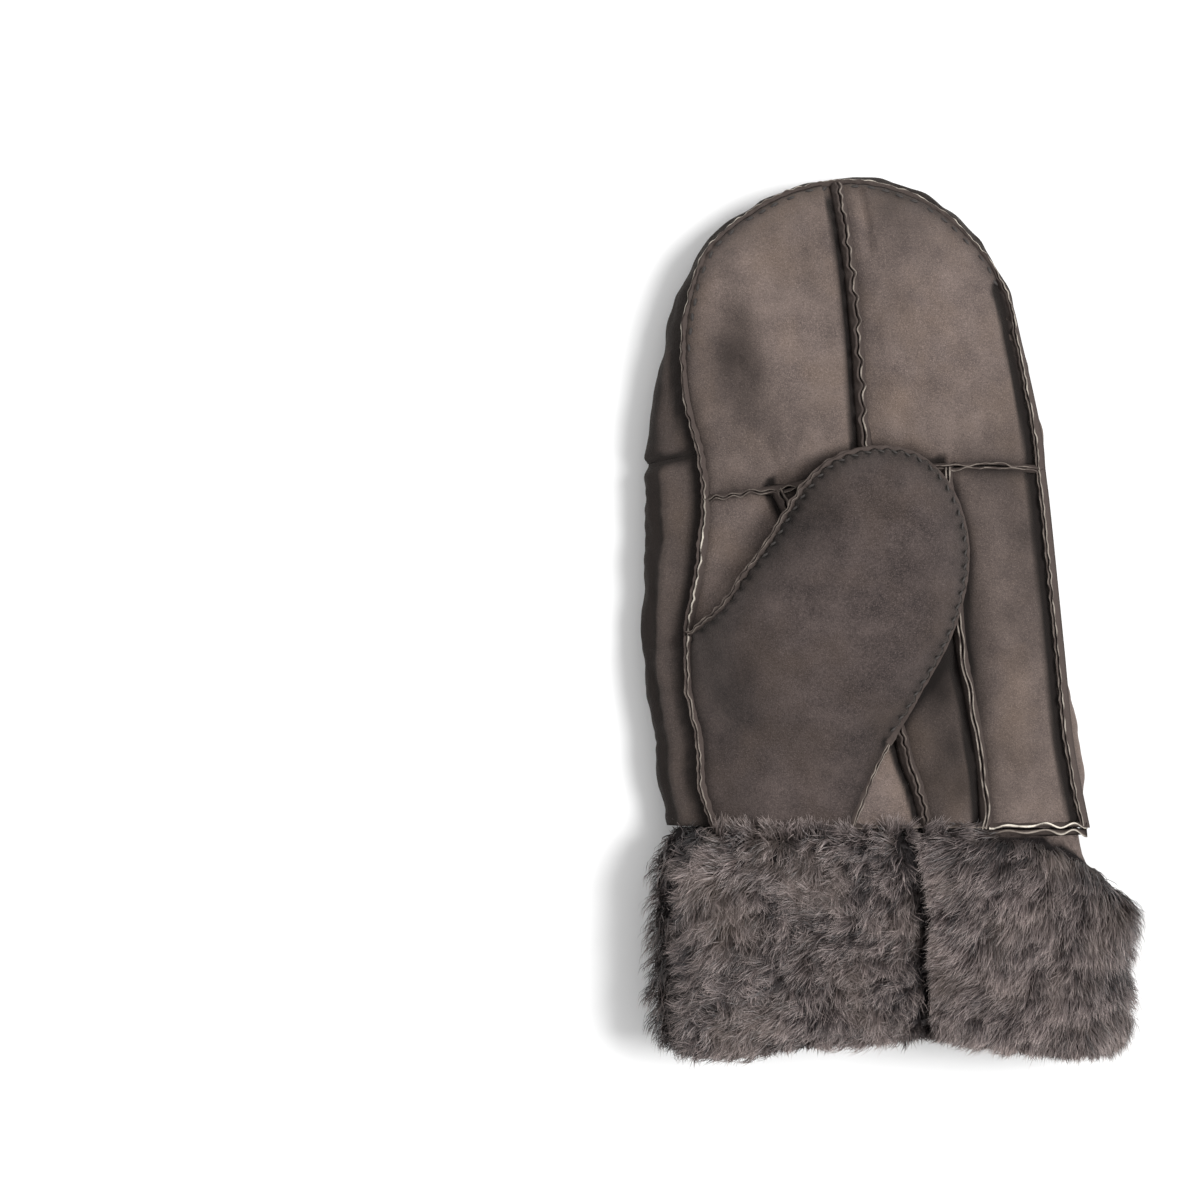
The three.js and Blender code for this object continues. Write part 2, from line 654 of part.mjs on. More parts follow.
const backFingers = suedePanel({
  sides: {
    bottom: straight(backSeam(rimAt("strip_seam_thumb_side")), backSeam(rimAt("strip_seam_outer_side"))),
    top: evenly(stretch(backSeam, rimAt("dome_thumb_side"), rimAt("dome_outer_side"))),
    left: evenly(stretch(backSeam, rimAt("strip_seam_thumb_side"), rimAt("dome_thumb_side"))),
    right: evenly(stretch(backSeam, rimAt("strip_seam_outer_side"), rimAt("dome_outer_side"))),
  },
  face: backFace,
  inside: backInside,
  folded: { left: true, right: true, top: true },
  columns: 14,
  rows: 12,
});

const stationOf = (name) => RIM.findIndex((row) => row.name === name);

// The side strip between palm and back. stops are row numbers of RIM.
function sideStrip(stops) {
  const rowsOfRim = RIM.length - 1;
  const thumbEnd = stationOf("thumb_start") - 0.2;
  const bend = (a, b, c, u) => a * (1 - u) * (1 - u) + 2 * b * u * (1 - u) + c * u * u;
  const shares = [0, 0.08, 0.28, 0.48, 0.7, 1];
  const point = (stop, u, depth) => {
    const t = stop / rowsOfRim;
    const above = stop < thumbEnd ? [thumbFace, thumbInside] : [palmFace, palmInside];
    const reach = flare(t);
    const outerTop = above[0](rim(t));
    const top = depth ? Math.min(above[1](besideRim(t, -WALL)), outerTop - WALL / 2) : outerTop;
    const bottom = depth ? backInside(backSeam(t).addScaledVector(rimOutward(t), -WALL)) : BACK_SEAM_HEIGHT;
    const outward = bend(-depth, 1.5 * reach + BACK_TUCK / 2 - 1.2 * depth, reach - BACK_TUCK - depth, u);
    const height = bend(top - 2.2 * SEAM_STEP, (top + bottom) / 2, bottom + SEAM_STEP, u);
    const lip = u === 0 && depth === 0 ? LIP / 2 : 0;
    const p = besideRim(t, outward + lip);
    return new THREE.Vector3(p.x, p.y, height + lip);
  };
  const side = (depth) => stops.map((stop) => shares.map((u) => point(stop, u, depth)));
  return bodyBetween(side(0), side(WALL));
}

const thumbSeamStop = stationOf("strip_seam_thumb_side");
const outerSeamStop = stationOf("strip_seam_outer_side");
const halfGap = 0.02; // of a row of RIM
const between = (from, to, count) => Array.from({ length: count + 1 }, (_, i) => lerp(from, to, i / count));
const thumbStartStop = stationOf("thumb_start");
const sideStripThumb = sideStrip([
  ...between(halfGap, thumbStartStop - 0.3, 8),
  thumbStartStop,
  ...between(thumbStartStop + 0.5, thumbSeamStop - halfGap, 5),
]);
const sideStripTip = sideStrip(between(thumbSeamStop + halfGap, outerSeamStop - halfGap, 22));
const sideStripOuter = sideStrip(between(outerSeamStop + halfGap, RIM.length - 1 - halfGap, 8));

// Cuff

function valueBetween(rows, key, value, wanted) {
  const next = Math.max(rows.findIndex((row) => row[key] >= wanted), 1);
  const [a, b] = [rows[next - 1], rows[next]];
  return lerp(a[value], b[value], (wanted - a[key]) / (b[key] - a[key]));
}

// The hide's oval at a share of the way down, with its outward direction.
function cuffOval(down) {
  const top = lerp(CUFF_TOP_AT_WRIST, CUFF_TOP_AT_HEM, down);
  const middle = (top + CUFF_UNDERSIDE) / 2;
  const narrowed = CUFF_OUTER_FLARE * (1 - smoothstep(down, 0, 0.35));
  const power = 2 / CUFF_SQUARENESS;
  const oval = (turn) => {
    const [cos, sin] = [Math.cos(2 * Math.PI * turn), Math.sin(2 * Math.PI * turn)];
    const halfWidth = CUFF_WIDTH / 2 - (cos > 0 ? narrowed : 0);
    return new THREE.Vector2(
      CUFF_CENTRE + halfWidth * Math.sign(cos) * Math.abs(cos) ** power,
      middle + (top - middle) * Math.sign(sin) * Math.abs(sin) ** power,
    );
  };
  const even = evenly(oval, 240);
  return (turn) => {
    const wrapped = (turn + 2) % 1;
    const along = even((wrapped + 0.004) % 1).sub(even((wrapped + 0.996) % 1)).normalize();
    return { place: even(wrapped), outward: new THREE.Vector2(along.y, -along.x) };
  };
}

function cuffPiece({ from, to, locks }) {
  const around = 2 * (CUFF_WIDTH + CUFF_TOP_AT_HEM);
  const gap = SEAM_GAP / 2 / around;
  const ovals = CUFF_SLICE.map((row) => cuffOval(row.down));
  const turnOf = (row, column) => {
    const shift = column > 0 && column < locks ? (row % 2 ? 0.2 : -0.2) : 0;
    return lerp(from + gap, to - gap, (column + shift) / locks);
  };
  const stand = (row, column) => ovals[row](turnOf(row, column));
  const reachAt = (turn) => valueBetween(HEM_REACH, "turn", "reach", (turn + 1) % 1);
  const furDepth = (row, column) => {
    const { outward } = stand(row, column);
    const fromEnd = Math.min(column, locks - column) / locks * (to - from) * around;
    const parted = lerp(GROOVE_FUR, 1, smoothstep(fromEnd, 0, GROOVE_WIDTH));
    return parted * lerp(FUR_DEPTH, FUR_UNDERNEATH, smoothstep(-outward.y, 0, 0.7));
  };
  const point = (row, column, offset, down) => {
    const { place, outward } = stand(row, column);
    const y = WRIST_Y - SEAM_GAP / 2 - down * CUFF_LENGTH * reachAt(turnOf(row, column));
    const z = place.y + outward.y * offset;
    return new THREE.Vector3(place.x + outward.x * offset, y, Math.max(z, 0));
  };
  const columns = between(0, locks, locks);
  const outer = CUFF_SLICE.map(({ fur, down }, row) =>
    columns.map((column) => point(row, column, fur * furDepth(row, column), down)),
  );
  const inner = CUFF_SLICE.map(({ roll, down }, row) =>
    columns.map((column) => point(row, column, -CUFF_WALL - roll * HEM_ROLL, down * 0.97)),
  );
  const peaks = CUFF_SLICE.slice(1).map((below, row) =>
    columns.slice(1).map((_, column) => {
      const lock = Math.min(below.lock, CUFF_SLICE[row].lock);
      const [above, under] = [outer[row], outer[row + 1]];
      const corners = [above[column], above[column + 1], under[column + 1], under[column]];
      const middle = new THREE.Vector3();
      corners.forEach((corner) => middle.addScaledVector(corner, 0.25));
      const { outward } = stand(row, column);
      const uneven = 1 + LOCK_UNEVENNESS * Math.sin(5.1 * row + 3.7 * column);
      const height = LOCK_HEIGHT * lock * uneven * (1 - clamp(-outward.y, 0, 1));
      if (height < SMALLEST_LOCK) return null;
      middle.x += outward.x * height;
      middle.z = Math.max(middle.z + outward.y * height, 0);
      middle.y += LOCK_COMB * (corners[3].y - corners[0].y);
      return middle;
    }),
  );
  return bodyBetween(outer, inner, peaks);
}

// Materials
const suede = new THREE.MeshStandardMaterial({ color: 0x70645f, roughness: 0.95, metalness: 0 });
const thumbSuede = new THREE.MeshStandardMaterial({ color: 0x5c524f, roughness: 0.95, metalness: 0 });
const fur = new THREE.MeshStandardMaterial({ color: 0x625958, roughness: 1, metalness: 0 });

const bodies = {
  finger_front_thumb_side: [fingerFrontThumbSide, suede],
  finger_front_outer_side: [fingerFrontOuterSide, suede],
  palm_under_thumb: [palmUnderThumb, suede],
  palm_middle: [palmMiddle, suede],
  palm_outer: [palmOuter, suede],
  thumb_front: [thumbFront, thumbSuede],
  thumb_back: [thumbBack, thumbSuede],
  side_strip_thumb: [sideStripThumb, suede],
  side_strip_tip: [sideStripTip, suede],
  side_strip_outer: [sideStripOuter, suede],
  back_hand: [backHand, suede],
  back_fingers: [backFingers, suede],
};
CUFF_PIECES.forEach((piece) => {
  bodies[piece.name] = [cuffPiece(piece), fur];
});

const group = new THREE.Group();
group.name = "fur_mitten";
for (const [name, [geometry, material]] of Object.entries(bodies)) {
  const mesh = new THREE.Mesh(geometry, material.clone());
  mesh.name = name;
  group.add(mesh);
}

export default group;
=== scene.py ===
"""A sheepskin mitten for a left hand, lying palm up on a pale table.

Suede panels with raw, wavy seam edges, a thumb over the palm and a deep fur cuff.
Lengths are in millimetres until a mesh is made.
"""

import bpy
import numpy as np
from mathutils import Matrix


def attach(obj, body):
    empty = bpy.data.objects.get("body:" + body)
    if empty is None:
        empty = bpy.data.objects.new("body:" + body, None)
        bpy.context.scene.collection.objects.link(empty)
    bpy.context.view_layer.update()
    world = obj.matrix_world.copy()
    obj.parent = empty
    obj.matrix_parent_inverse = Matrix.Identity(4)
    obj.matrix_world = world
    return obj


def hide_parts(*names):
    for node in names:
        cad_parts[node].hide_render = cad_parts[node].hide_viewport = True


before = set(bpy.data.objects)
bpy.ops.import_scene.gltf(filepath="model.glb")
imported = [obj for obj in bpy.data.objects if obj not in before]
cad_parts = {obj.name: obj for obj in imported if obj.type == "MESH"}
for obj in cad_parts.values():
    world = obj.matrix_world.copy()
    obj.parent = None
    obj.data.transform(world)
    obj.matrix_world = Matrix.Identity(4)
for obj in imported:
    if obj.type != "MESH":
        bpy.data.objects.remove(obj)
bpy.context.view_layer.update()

bl_info = {
    "name": "Sheepskin mitten",
    "version": (1, 0, 0),
    "blender": (4, 5, 0),
    "location": "View3D > Sidebar > Mitten",
    "description": "Builds a suede mitten with a fur cuff over its packed solids",
    "category": "Object",
}

MM = 0.001

# Hand
HAND_LENGTH, HAND_WIDTH, HAND_DEPTH = 198.0, 130.0, 36.0
WRIST_Y, WALL = -63.0, 2.4
SEAM_GAP, SEAM_STEP = 0.6, 0.5
LIP, VALLEY_WIDTH = 2.2, 6.0
BACK_SEAM_HEIGHT, BACK_TUCK, BACK_ROUNDING = 5.0, 5.0, 14.0

# Thumb
THUMB_LIFT, THUMB_BASE_LIFT, THUMB_CROWN, THUMB_ROUNDING = 9.0, 5.2, 14.0, 26.0
THUMB_BACK_WALL, THUMB_ROOT_WALL, ROOT_REACH = 1.6, 1.6, 14.0

# Cuff
CUFF_LENGTH, CUFF_WIDTH, CUFF_CENTRE, CUFF_OUTER_FLARE = 68.0, 127.0, -1.0, 5.0
CUFF_UNDERSIDE, CUFF_TOP_AT_WRIST, CUFF_TOP_AT_HEM = 4.5, 35.0, 39.0
CUFF_SQUARENESS, CUFF_WALL = 2.6, 3.0
FUR_DEPTH, FUR_UNDERNEATH, HEM_ROLL, HEM_DOWN = 14.0, 7.0, 5.0, 0.955
AROUND = 2 * (CUFF_WIDTH + CUFF_TOP_AT_HEM)

# Seam lines as (across, along) shares of the hand. RIM has the side strip's flare as a third share.
RIM = [
    (-0.415, 0.0, 0.105), (-0.445, 0.067, 0.101), (-0.45, 0.136, 0.1), (-0.472, 0.2, 0.097),
    (-0.477, 0.296, 0.104), (-0.451, 0.403, 0.126), (-0.437, 0.508, 0.134), (-0.449, 0.579, 0.129),
    (-0.477, 0.648, 0.088), (-0.489, 0.733, 0.05), (-0.477, 0.808, 0.035), (-0.427, 0.896, 0.023),
    (-0.331, 0.951, 0.02), (-0.235, 0.984, 0.014), (-0.127, 1.0, 0.008), (-0.015, 0.993, 0.008),
    (0.098, 0.962, 0.01), (0.204, 0.898, 0.012), (0.268, 0.829, 0.012), (0.298, 0.742, 0.013),
    (0.342, 0.591, 0.017), (0.348, 0.553, 0.018), (0.369, 0.419, 0.021), (0.392, 0.268, 0.024),
    (0.414, 0.126, 0.022), (0.451, 0.0, 0.014),
]
RIM_STEPS = len(RIM) - 1
THUMB_START, KNUCKLE_IN, STRIP_IN, DOME_IN, TIP = (row / RIM_STEPS for row in (4, 6, 7, 11, 14))
DOME_OUT, STRIP_OUT, KNUCKLE_OUT = (row / RIM_STEPS for row in (17, 20, 21))
FINGER_SEAM = [(-0.06, 0.548), (-0.073, 0.65), (-0.082, 0.75), (-0.099, 0.86), (-0.115, 0.94), (-0.127, 1.0)]
KNUCKLE_SEAM = [
    (-0.437, 0.508), (-0.35, 0.516), (-0.269, 0.522), (-0.06, 0.548), (0.126, 0.556), (0.24, 0.558),
    (0.348, 0.553),
]
AT_THUMB_SEAM, AT_FINGER_SEAM, AT_OUTER_SEAM = 2 / 6, 3 / 6, 4 / 6
THUMB_SEAM = [
    (0.082, 0.0), (0.056, 0.068), (0.034, 0.105), (0.012, 0.16), (-0.086, 0.29), (-0.2, 0.43),
    (-0.269, 0.522),
]
OUTER_SEAM = [
    (0.22, 0.0), (0.208, 0.1), (0.184, 0.2), (0.159, 0.286), (0.15, 0.36), (0.142, 0.45), (0.126, 0.556),
]
THUMB_EDGE = [
    (-0.477, 0.296), (-0.4, 0.34), (-0.35, 0.387), (-0.29, 0.44), (-0.212, 0.52), (-0.145, 0.563),
    (-0.045, 0.583), (0.05, 0.573), (0.12, 0.532), (0.162, 0.465), (0.167, 0.395), (0.13, 0.3),
    (0.056, 0.207), (-0.013, 0.131), (-0.055, 0.075), (-0.1, 0.0),
]
BACK_FROM, TIP_FROM, TIP_TO, BACK_TO, EDGE_END = (row / 15 for row in (2, 4, 8, 12, 13))
THUMB_MOUTH = [(-0.477, 0.296), (-0.33, 0.262), (-0.16, 0.222), (-0.013, 0.131)]
THUMB_WEB = [(-0.35, 0.387), (-0.27, 0.315), (-0.12, 0.262), (0.056, 0.207)]
THUMB_AXIS = [(-0.277, 0.091), (0.062, 0.571)]

# Soft hollows: across, along, size, depth. Spots of painted shade where the suede lies low or in the lee of
# the thumb and seams: across, along, size, darkness; a darkness below nought paints light.
DENTS = [
    (-0.4, 0.77, 0.1, 0.06), (-0.28, 0.83, 0.08, 0.04), (0.02, 0.6, 0.12, 0.06), (0.18, 0.78, 0.07, 0.04),
    (0.3, 0.5, 0.09, 0.04), (0.1, 0.2, 0.09, 0.09), (0.34, 0.2, 0.08, 0.04),
]
THUMB_ROOTS = [(-0.477, 0.296, 0.085, 0.067), (-0.013, 0.131, 0.085, 0.067)]
PAINTED_SHADE_SPOTS = [
    (-0.38, 0.74, 0.05, 0.45), (-0.36, 0.68, 0.07, 0.25), (-0.3, 0.6, 0.12, 0.2), (0.0, 0.95, 0.05, 0.35),
    (0.1, 0.24, 0.09, 0.75), (0.14, 0.08, 0.07, 0.65), (0.12, 0.34, 0.06, 0.6), (0.3, 0.45, 0.16, 0.2),
    (0.2, 0.62, 0.12, 0.12), (0.05, 0.9, 0.1, 0.15),
]
# The thumb's spots of painted shade, and of painted light where the darkness is below nought.
THUMB_PAINTED_LIGHT_AND_SHADE = [
    (-0.24, 0.5, 0.06, 0.3), (-0.15, 0.47, 0.04, 0.2), (-0.35, 0.22, 0.06, 0.28), (-0.27, 0.16, 0.05, 0.22),
    (-0.3, 0.45, 0.05, 0.2), (-0.1, 0.35, 0.06, -0.15), (-0.18, 0.08, 0.07, -0.15), (-0.42, 0.3, 0.04, 0.2),
]
# Creases: from, to, width, depth.
TRENCH_DEPTH = 1.6
CREASES = [
    ((-0.385, 0.78), (-0.34, 0.69), 5.5, 2.4), ((-0.07, 0.98), (-0.055, 0.89), 1.3, 2.0),
    ((-0.262, 0.54), (-0.235, 0.6), 1.6, 1.0), ((-0.262, 0.54), (-0.3, 0.595), 1.6, 0.9),
    ((0.055, 0.93), (0.06, 0.89), 2.2, 0.9), ((0.25, 0.49), (0.262, 0.44), 2.6, 0.9),
    ((0.2, 0.57), (0.215, 0.64), 1.8, 0.7), ((-0.39, 0.6), (-0.36, 0.68), 2.0, 0.7),
    ((0.26, 0.12), (0.3, 0.03), 2.4, 0.8),
]

# Cuff slice: share of the way down, depth of the fur, roll. Hem: share of the way round, reach.
CUFF_SLICE = np.array([
    (0.0, 0.1, 0), (0.05, 0.45, 0), (0.13, 0.7, 0), (0.25, 0.78, 0), (0.37, 0.8, 0), (0.49, 0.8, 0),
    (0.61, 0.8, 0.1), (0.73, 0.79, 0.35), (0.84, 0.73, 0.65), (0.93, 0.52, 0.85), (1.0, 0.12, 0.55),
])
HEM_REACH = np.array([
    (0.0, 1.03), (0.06, 1.03), (0.118, 1.0), (0.185, 0.95), (0.216, 0.93), (0.277, 0.965), (0.348, 0.98),
    (0.409, 1.03), (0.46, 1.03), (0.52, 1.0), (0.75, 0.97), (0.94, 1.0), (1.0, 1.03),
])
# Pieces of the cuff: from and to round it, least cover at its two ends, how far these reach, and wildness.
CUFF_PIECES = {
    "cuff_front_outer": (-0.055, 0.205, 0.7, 0.95, 6, 2, 0.5),
    "cuff_front_thumb": (0.205, 0.475, 0.02, 0.1, 10, 8, 1.0),
    "cuff_back": (0.475, 0.945, 0.6, 0.7, 6, 6, 0.8),
}
OUTER_PIECE, THUMB_PIECE, BACK_PIECE = CUFF_PIECES


# Places and curves


def hand(shares):
    """Places in the hand, from shares of its width and length."""
    return np.asarray(shares, float)[..., :2] * (HAND_WIDTH, HAND_LENGTH) + (0, WRIST_Y)


def lerp(a, b, share):
    return a + (b - a) * share


def smooth(x, start, end):
    share = np.clip((x - start) / (end - start), 0, 1)
    return share * share * (3 - 2 * share)


def plateau(x, start, full, fading, end):
    return smooth(x, start, full) * (1 - smooth(x, fading, end))


def bell(x, width, power=2):
    return np.exp(-((x / width) ** power))


def unit(v):
    return v / np.maximum(np.linalg.norm(v, axis=-1, keepdims=True), 1e-9)


def left_of(v):
    return np.stack([-v[..., 1], v[..., 0]], -1)


def raised(p, height=0.0):
    """Places in plan with a height."""
    return np.concatenate([p, np.broadcast_to(height, p.shape[:-1])[..., None]], -1)


def curve_through(places):
    """A smooth curve through places. Equal steps of its share go from place to place."""
    p = np.asarray(places, float)
    last = len(p) - 1
    p = np.vstack([2 * p[0] - p[1], p, 2 * p[-1] - p[-2]])

    def at(share):
        stop = np.clip(np.atleast_1d(share), 0, 1) * last
        i = np.minimum(stop.astype(int), last - 1)
        w = (stop - i)[:, None]
        a, b, c, d = (p[i + k] for k in range(4))
        links = (a, b), (b, c), (c, d)
        span = [np.maximum(((v - u) ** 2).sum(1), 1e-12)[:, None] ** 0.25 for u, v in links]
        start = ((b - a) / span[0] - (c - a) / (span[0] + span[1]) + (c - b) / span[1]) * span[1]
        end = ((c - b) / span[1] - (d - b) / (span[1] + span[2]) + (d - c) / span[2]) * span[1]
        return b + start * w + (3 * (c - b) - 2 * start - end) * w**2 + (2 * (b - c) + start + end) * w**3

    return at


def stretch(curve, start, end):
    return lambda share: curve(lerp(start, end, np.atleast_1d(share)))


def straight(a, b):
    return lambda share: lerp(a, b, np.atleast_1d(share)[:, None])


def runs(line):
    """How far along a line each of its points lies."""
    return np.concatenate([[0], np.cumsum(np.linalg.norm(np.diff(line, axis=0), axis=1))])


def on_line(at, run, line):
    """Places on a line at given runs."""
    return np.stack([np.interp(at, run, column) for column in line.T], 1)


def evenly(curve, steps=240):
    shares = np.linspace(0, 1, steps + 1)
    run = runs(curve(shares))
    return lambda share: curve(np.interp(np.atleast_1d(share) * run[-1], run, shares))


def part(curve, start=0, end=1):
    return evenly(stretch(curve, start, end))


def chained(curves, ends):
    starts = [0, *ends[:-1]]

    def at(share):
        share = np.atleast_1d(np.asarray(share, float))
        places = np.empty((len(share), 2))
        for curve, start, end in zip(curves, starts, ends):
            here = (share >= start) & (share <= end)
            if here.any():
                places[here] = curve((share[here] - start) / (end - start))
        return places

    return at


def line_of(curve, steps=120):
    return curve(np.linspace(0, 1, steps + 1))


def nearest(p, line):
    """For each place: how far it lies from a line, how far along the line that is, and the way there."""
    step = np.diff(line, axis=0)
    run = runs(line)
    found = []
    for some in np.array_split(p, len(p) // 4000 + 1):
        away = some[:, None] - line[:-1]
        share = np.clip((away * step).sum(2) / (step * step).sum(1), 0, 1)
        apart = away - share[..., None] * step
        length = np.linalg.norm(apart, axis=2)
        i = length.argmin(1)
        row = np.arange(len(i))
        along = run[i] + share[row, i] * (run[i + 1] - run[i])
        found.append(np.column_stack([length[row, i], along, -apart[row, i]]))
    found = np.concatenate(found)
    return found[:, 0], found[:, 1], found[:, 2:]


def distance(p, *lines):
    return np.min([nearest(p, line)[0] for line in lines], axis=0)


def ripple(p, size, seed, count=7):
    """Smooth unevenness with hills about as far apart as size, from about -1 to 1."""
    rng = np.random.default_rng(seed)
    way = unit(rng.normal(size=(count, p.shape[1])))
    way = way * (2 * np.pi / size * rng.uniform(0.7, 1.4, count))[:, None]
    return np.sin(p @ way.T + rng.uniform(0, 2 * np.pi, count)).sum(1) / np.sqrt(count) * 0.8


def ripple_on(run, size, seed, count=7):
    """The same unevenness along a line."""
    return ripple(np.column_stack([run, 0 * run]), size, seed, count)


rim, knuckles, finger_seam, thumb_seam, outer_seam, thumb_edge, thumb_mouth, thumb_web = (
    curve_through(hand(row))
    for row in (RIM, KNUCKLE_SEAM, FINGER_SEAM, THUMB_SEAM, OUTER_SEAM, THUMB_EDGE, THUMB_MOUTH, THUMB_WEB)
)
flare_rows = curve_through([(i, row[2] * HAND_WIDTH) for i, row in enumerate(RIM)])


def flare(share):
    return flare_rows(share)[:, 1]


def rim_outward(share):
    share = np.atleast_1d(share)
    along = unit(rim(share + 0.004) - rim(share - 0.004))
    from_end = np.minimum(share, 1 - share) * RIM_STEPS
    across = np.stack([np.where(share < 0.5, -1.0, 1.0), np.zeros(len(share))], 1)
    return unit(lerp(left_of(along), across, (1 - smooth(from_end, 0, 2.5))[:, None]))


def beside_rim(share, outward):
    return rim(share) + rim_outward(share) * np.reshape(outward, (-1, 1))


def back_seam(share):
    return beside_rim(share, flare(share) - BACK_TUCK)


rim_line, back_line = line_of(rim, 200), line_of(back_seam, 200)
palm_seams = [line_of(curve, 90) for curve in (knuckles, finger_seam, thumb_seam, outer_seam)]
UPRIGHT_SEAMS = [*palm_seams[1:], line_of(stretch(rim, 0.72, 1), 90)]
PALM_EDGES = [*palm_seams, rim_line]
rim_under_thumb = line_of(stretch(rim, 0, THUMB_START), 60)
free_edge = line_of(stretch(thumb_edge, 0, EDGE_END), 120)
crease = line_of(stretch(thumb_edge, EDGE_END, 1), 40)
THUMB_EDGES = [rim_under_thumb, free_edge, crease]
thumb_from, thumb_to = hand(THUMB_AXIS)
WRIST = {
    "thumb_side": rim(0)[0], "crease": thumb_edge(1)[0], "thumb_seam": thumb_seam(0)[0],
    "outer_seam": outer_seam(0)[0], "outer_side": rim(1)[0],
}


# Surfaces, the same as those of the solids


def pillow(share, power):
    return (1 - (1 - np.clip(share, 0, 1)) ** 2.4) ** power


def dip(p, hollows):
    away = [np.linalg.norm(p - hand(row), axis=1) / (row[2] * HAND_WIDTH) for row in hollows]
    return sum(row[3] * HAND_DEPTH * bell(far, 1) for row, far in zip(hollows, away))


def palm_form(p):
    edge = distance(p, rim_line)
    height = HAND_DEPTH * lerp(0.74, 0.52, smooth((p[:, 1] - WRIST_Y) / HAND_LENGTH, 0.6, 1))
    crown = (HAND_DEPTH - height) * pillow(edge / (0.32 * HAND_WIDTH), 0.8)
    return height + crown - dip(p, DENTS) * np.clip(edge / 10, 0, 1)


def palm_face(p):
    return palm_form(p) - LIP * bell(distance(p, *palm_seams), VALLEY_WIDTH) - dip(p, THUMB_ROOTS)


def back_face(p):
    return BACK_SEAM_HEIGHT * (1 - pillow(distance(p, back_line) / BACK_ROUNDING, 1))


def along_thumb(p):
    axis = thumb_to - thumb_from
    return (p - thumb_from) @ axis / (axis @ axis)


def thumb_lift(p):
    a = along_thumb(p)
    full = THUMB_BASE_LIFT * smooth(a, 0, 0.21) + (THUMB_LIFT - THUMB_BASE_LIFT) * smooth(a, 0.21, 0.48)
    return full * smooth(distance(p, rim_under_thumb, crease), 0, ROOT_REACH)


def thumb_face(p):
    crown = THUMB_CROWN * smooth(along_thumb(p), -0.24, 0.57)
    return palm_form(p) + thumb_lift(p) + crown * pillow(distance(p, *THUMB_EDGES) / THUMB_ROUNDING, 0.75)


def thumb_inside(p):
    from_root = np.min([np.linalg.norm(p - root, axis=1) for root in hand(THUMB_ROOTS)], axis=0)
    return thumb_face(p) - lerp(THUMB_ROOT_WALL, WALL, smooth(from_root, 0, 12))


def thumb_underside(p):
    turned_up = 1 - smooth(distance(p, free_edge), 0, 9)
    return palm_form(p) + SEAM_STEP + turned_up * (thumb_lift(p) - 2 * SEAM_STEP)


# Unevenness of the worn suede


def puckers(p, lines, wave, height, reach=4.0):
    """Small gathers that run out from a seam."""
    gathers = np.zeros(len(p))
    for i, line in enumerate(lines):
        far, run, _ = nearest(p, line)
        phase = 2 * np.pi * run / wave + 1.6 * ripple_on(run, 19, 31 + i)
        gathers += height * bell(far, reach) * np.sin(phase) * (0.6 + 0.4 * ripple(p, 23, 57 + i))
    return gathers


def trench(p, lines, at=2.6, width=1.7):
    """How deep a place lies in the furrow at the thumb side of a folded seam, from 0 to 1."""
    deep = np.zeros(len(p))
    for line in lines:
        far, _, way = nearest(p, line)
        thumbward = np.clip(1.4 * way[:, 0] / np.maximum(far, 0.1), 0, 1)
        deep = np.maximum(deep, thumbward * bell(far - at, width, 4))
    return deep


def palm_skin(p):
    edge = distance(p, rim_line)
    worn = 0.5 * ripple(p, 26, 3) + 0.24 * ripple(p, 11, 4) + 0.09 * ripple(p, 5, 5)
    gathers = puckers(p, palm_seams, 4.6, 0.4) + puckers(p, [rim_line], 5.2, 0.35, 5)
    creased = sum(
        deep * bell(nearest(p, np.array([hand(start), hand(end)]))[0], width)
        for start, end, width, deep in CREASES
    )
    furrow = TRENCH_DEPTH * trench(p, UPRIGHT_SEAMS)
    return palm_face(p) + worn * smooth(edge, 0, 9) + gathers - furrow - creased * smooth(edge, 0, 4)


def thumb_skin(p):
    worn = 0.55 * ripple(p, 24, 13) + 0.2 * ripple(p, 10, 14) + 0.07 * ripple(p, 5, 15)
    gathers = puckers(p, [free_edge], 4.2, 0.6, 4.5) + puckers(p, [crease, rim_under_thumb], 4.6, 0.38, 4.5)
    return thumb_face(p) + worn * smooth(distance(p, *THUMB_EDGES), 0, 8) + gathers


def back_skin(p):
    worn = 0.05 * (1 + ripple(p, 30, 71)) * smooth(distance(p, back_line), 2, 20)
    return np.maximum(back_face(p) + worn, 0.02)


# Meshes


